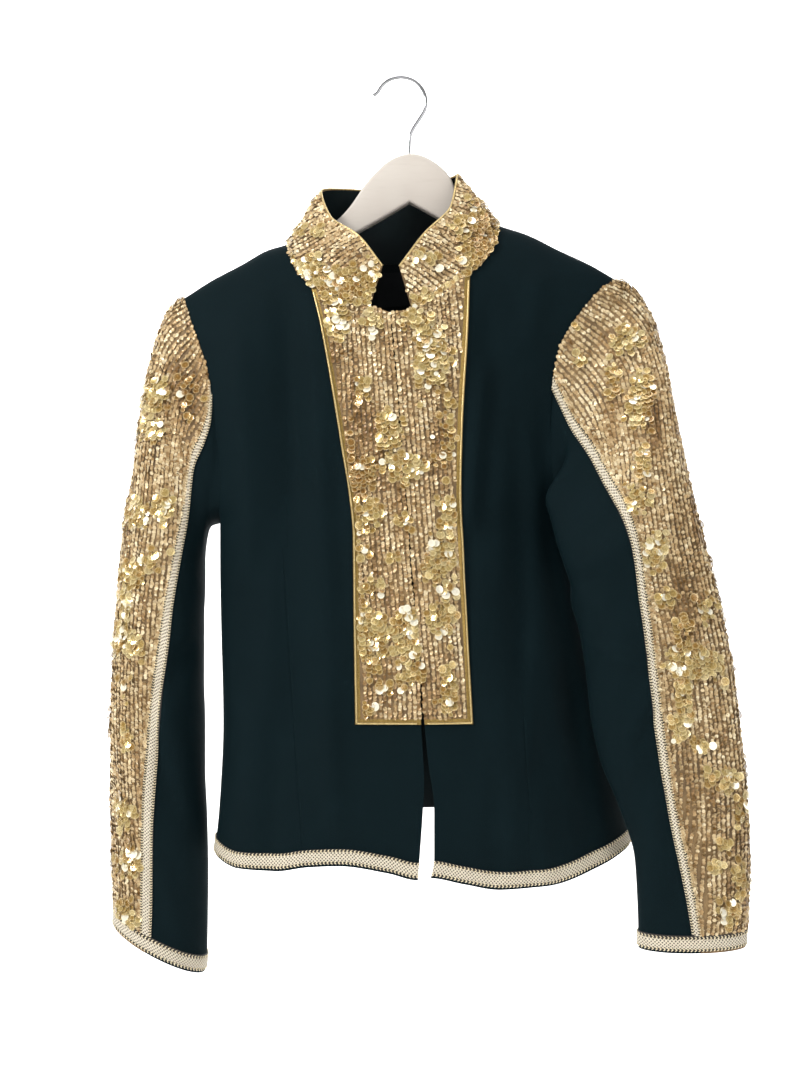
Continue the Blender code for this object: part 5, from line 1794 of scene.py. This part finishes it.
def smooth_path(points):
    """A path rounded once between its points."""
    parts = np.linspace(0, len(points) - 1, (len(points) - 1) * 4 + 1)
    marks = np.arange(len(points))
    made = np.stack([np.interp(parts, marks, points[:, k]) for k in range(3)], axis=1)
    for _ in range(3):
        made[1:-1] = (made[:-2] + 2 * made[1:-1] + made[2:]) / 4
    return made


def back_edges(mesh):
    """The edges of the backdrop that lie at its far end."""
    return [edge for edge in mesh.edges if all(vert.co.y > WALL_Y - 0.1 for vert in edge.verts)]


def make_stage(settings):
    """A plain pale wall and floor, soft light, and the camera."""
    scene = bpy.context.scene
    low = CAD_BOX[0][2] - settings.floor_drop
    mesh = bmesh.new()
    bmesh.ops.create_grid(mesh, x_segments=1, y_segments=1, size=FLOOR_HALF)
    bmesh.ops.translate(mesh, verts=mesh.verts, vec=(0, WALL_Y - FLOOR_HALF, low))
    raised = bmesh.ops.extrude_edge_only(mesh, edges=back_edges(mesh))["geom"]
    lifted = [part for part in raised if isinstance(part, bmesh.types.BMVert)]
    bmesh.ops.translate(mesh, verts=lifted, vec=(0, 0, WALL_HEIGHT))
    bend = [edge for edge in back_edges(mesh) if all(vert.co.z < low + MM for vert in edge.verts)]
    bmesh.ops.bevel(mesh, geom=bend, offset=WALL_BEND, segments=12, profile=0.5, material=-1,
                    affect="EDGES")
    data = bpy.data.meshes.new("backdrop")
    mesh.to_mesh(data)
    mesh.free()
    data.shade_smooth()
    paint = Finish("pale backdrop", base_color=(0.93, 0.93, 0.93, 1.0), roughness=0.9)
    data.materials.append(paint.material)
    backdrop = bpy.data.objects.new("backdrop", data)
    scene.collection.objects.link(backdrop)
    world = bpy.data.worlds.new("studio")
    world.use_nodes = True
    sky = world.node_tree.nodes["Background"].inputs
    sky["Color"].default_value = (1.0, 1.0, 1.0, 1.0)
    sky["Strength"].default_value = settings.sky_strength
    scene.world = world
    scene.view_settings.view_transform = "Standard"
    for name, place, target, size, power in STUDIO_LIGHTS:
        light = bpy.data.lights.new(name, "AREA")
        light.shape, light.size, light.energy = "SQUARE", size, power
        lamp = bpy.data.objects.new(name, light)
        lamp.location = place
        lamp.rotation_euler = (Vector(target) - Vector(place)).to_track_quat("-Z", "Y").to_euler()
        scene.collection.objects.link(lamp)
    lens = bpy.data.cameras.new("camera")
    lens.sensor_fit, lens.sensor_height, lens.lens = "VERTICAL", 36.0, settings.lens
    camera = bpy.data.objects.new("camera", lens)
    camera.location = (settings.camera_x, -settings.camera_distance, settings.camera_z)
    camera.rotation_euler = (math.radians(90), 0, 0)
    scene.collection.objects.link(camera)
    scene.camera = camera


def number_setting(name, description, default, low, high, **more):
    """A number that can be set in the panel."""
    return bpy.props.FloatProperty(name=name, description=description, default=default, min=low,
                                   max=high, precision=4, **more)


def size_setting(name, description, default, low, high):
    """A length that can be set in the panel, in metres."""
    return number_setting(name, description, default, low, high, unit="LENGTH")


class JacketCloth(bpy.types.PropertyGroup):
    """Sizes and colour of the cloth."""

    wall: size_setting("Cloth thickness", "Thickness of the wool with its lining",
                       0.0018, 0.001, 0.003)
    wool_colour: bpy.props.FloatVectorProperty(
        name="Wool colour", description="Middle colour of the wool",
        default=(0.0014, 0.0048, 0.0060), min=0, max=1, size=3, subtype="COLOR")


class JacketSequins(bpy.types.PropertyGroup):
    """Sizes and spacing of the sequins."""

    row_spacing: size_setting("Row spacing", "From one row of sequins to the next",
                              0.0044, 0.003, 0.01)
    pitch: size_setting("Sequin pitch", "From one small sequin to the next in a row",
                        0.0021, 0.0015, 0.005)
    disc_pitch: size_setting("Disc pitch", "From one large disc to the next in a row",
                             0.0042, 0.003, 0.01)
    disc_threshold: number_setting("Disc sparseness", "How rare the large discs are", 0.2, -2, 2)


class JacketTrims(bpy.types.PropertyGroup):
    """Sizes of the braid."""

    chain_pitch: size_setting("Chain pitch", "From one edge stitch to the next",
                              0.0034, 0.002, 0.01)
    fine_pitch: size_setting("Fine chain pitch", "The same on the sleeves' long seams",
                             0.0025, 0.002, 0.01)


class JacketStage(bpy.types.PropertyGroup):
    """Where the camera stands and how bright the studio is."""

    camera_distance: size_setting("Camera distance", "From the hanger to the camera", 1.15, 0.5, 5)
    camera_x: size_setting("Camera sideways", "Camera's place along X", 0.0038, -5, 5)
    camera_z: size_setting("Camera height", "Camera's place along Z", -0.438, -5, 5)
    lens: number_setting("Lens", "Focal length in millimetres", 40.35, 10, 200)
    floor_drop: size_setting("Floor below", "From the lowest point to the floor", 0.45, 0, 2)
    sky_strength: number_setting("Sky", "Strength of the light from all round", 0.5, 0, 5)


class OBJECT_OT_jacket_cloth(bpy.types.Operator):
    """Make the fronts, back, collar and sleeves"""

    bl_idname = "object.jacket_cloth"
    bl_label = "Cloth"

    def execute(self, context):
        make_cloth(context.scene.jacket_cloth)
        return {"FINISHED"}


class OBJECT_OT_jacket_sequins(bpy.types.Operator):
    """Sew the sequins on the sleeves, front panels and collar"""

    bl_idname = "object.jacket_sequins"
    bl_label = "Sequins"

    def execute(self, context):
        make_sequins(context.scene.jacket_sequins)
        return {"FINISHED"}


class OBJECT_OT_jacket_braids(bpy.types.Operator):
    """Lay the braid on the sleeve seams, cuffs and hem"""

    bl_idname = "object.jacket_braids"
    bl_label = "Braids"

    def execute(self, context):
        make_braids(context.scene.jacket_trims)
        return {"FINISHED"}


class OBJECT_OT_jacket_cords(bpy.types.Operator):
    """Lay the gold cord round the front panels and along the collar"""

    bl_idname = "object.jacket_cords"
    bl_label = "Cords"

    def execute(self, context):
        make_cords()
        return {"FINISHED"}


class OBJECT_OT_jacket_label(bpy.types.Operator):
    """Sew in the plain neck label"""

    bl_idname = "object.jacket_label"
    bl_label = "Label"

    def execute(self, context):
        make_label(context.scene.jacket_cloth)
        return {"FINISHED"}


class OBJECT_OT_jacket_hanger(bpy.types.Operator):
    """Make the wooden hanger and its hook"""

    bl_idname = "object.jacket_hanger"
    bl_label = "Hanger"

    def execute(self, context):
        make_hanger()
        return {"FINISHED"}


class OBJECT_OT_jacket_stage(bpy.types.Operator):
    """Set up the backdrop, the lights and the camera"""

    bl_idname = "object.jacket_stage"
    bl_label = "Stage"

    def execute(self, context):
        make_stage(context.scene.jacket_stage)
        return {"FINISHED"}


GROUPS = {
    "jacket_cloth": JacketCloth,
    "jacket_sequins": JacketSequins,
    "jacket_trims": JacketTrims,
    "jacket_stage": JacketStage,
}
OPERATORS = (
    OBJECT_OT_jacket_cloth, OBJECT_OT_jacket_sequins, OBJECT_OT_jacket_braids,
    OBJECT_OT_jacket_cords, OBJECT_OT_jacket_label, OBJECT_OT_jacket_hanger,
    OBJECT_OT_jacket_stage,
)


class VIEW3D_PT_jacket(bpy.types.Panel):
    """Lists the jacket's settings and the steps that build it"""

    bl_idname = "VIEW3D_PT_jacket"
    bl_label = "Jacket"
    bl_space_type = "VIEW_3D"
    bl_region_type = "UI"
    bl_category = "Jacket"

    def draw(self, context):
        for name, group in GROUPS.items():
            box = self.layout.box()
            for setting in group.__annotations__:
                box.prop(getattr(context.scene, name), setting)
        for operator in OPERATORS:
            self.layout.operator(operator.bl_idname)


def register():
    """Add the classes and the scene's settings."""
    for group in (*GROUPS.values(), *OPERATORS, VIEW3D_PT_jacket):
        bpy.utils.register_class(group)
    for name, group in GROUPS.items():
        setattr(bpy.types.Scene, name, bpy.props.PointerProperty(type=group))


def unregister():
    """Take away the classes and the scene's settings."""
    for name in GROUPS:
        delattr(bpy.types.Scene, name)
    for group in (VIEW3D_PT_jacket, *reversed(OPERATORS), *reversed(GROUPS.values())):
        bpy.utils.unregister_class(group)


def main():
    """Build every piece in order."""
    register()
    bpy.ops.object.jacket_stage()
    bpy.ops.object.jacket_cloth()
    bpy.ops.object.jacket_sequins()
    bpy.ops.object.jacket_braids()
    bpy.ops.object.jacket_cords()
    bpy.ops.object.jacket_label()
    bpy.ops.object.jacket_hanger()


if __name__ == "__main__":
    main()
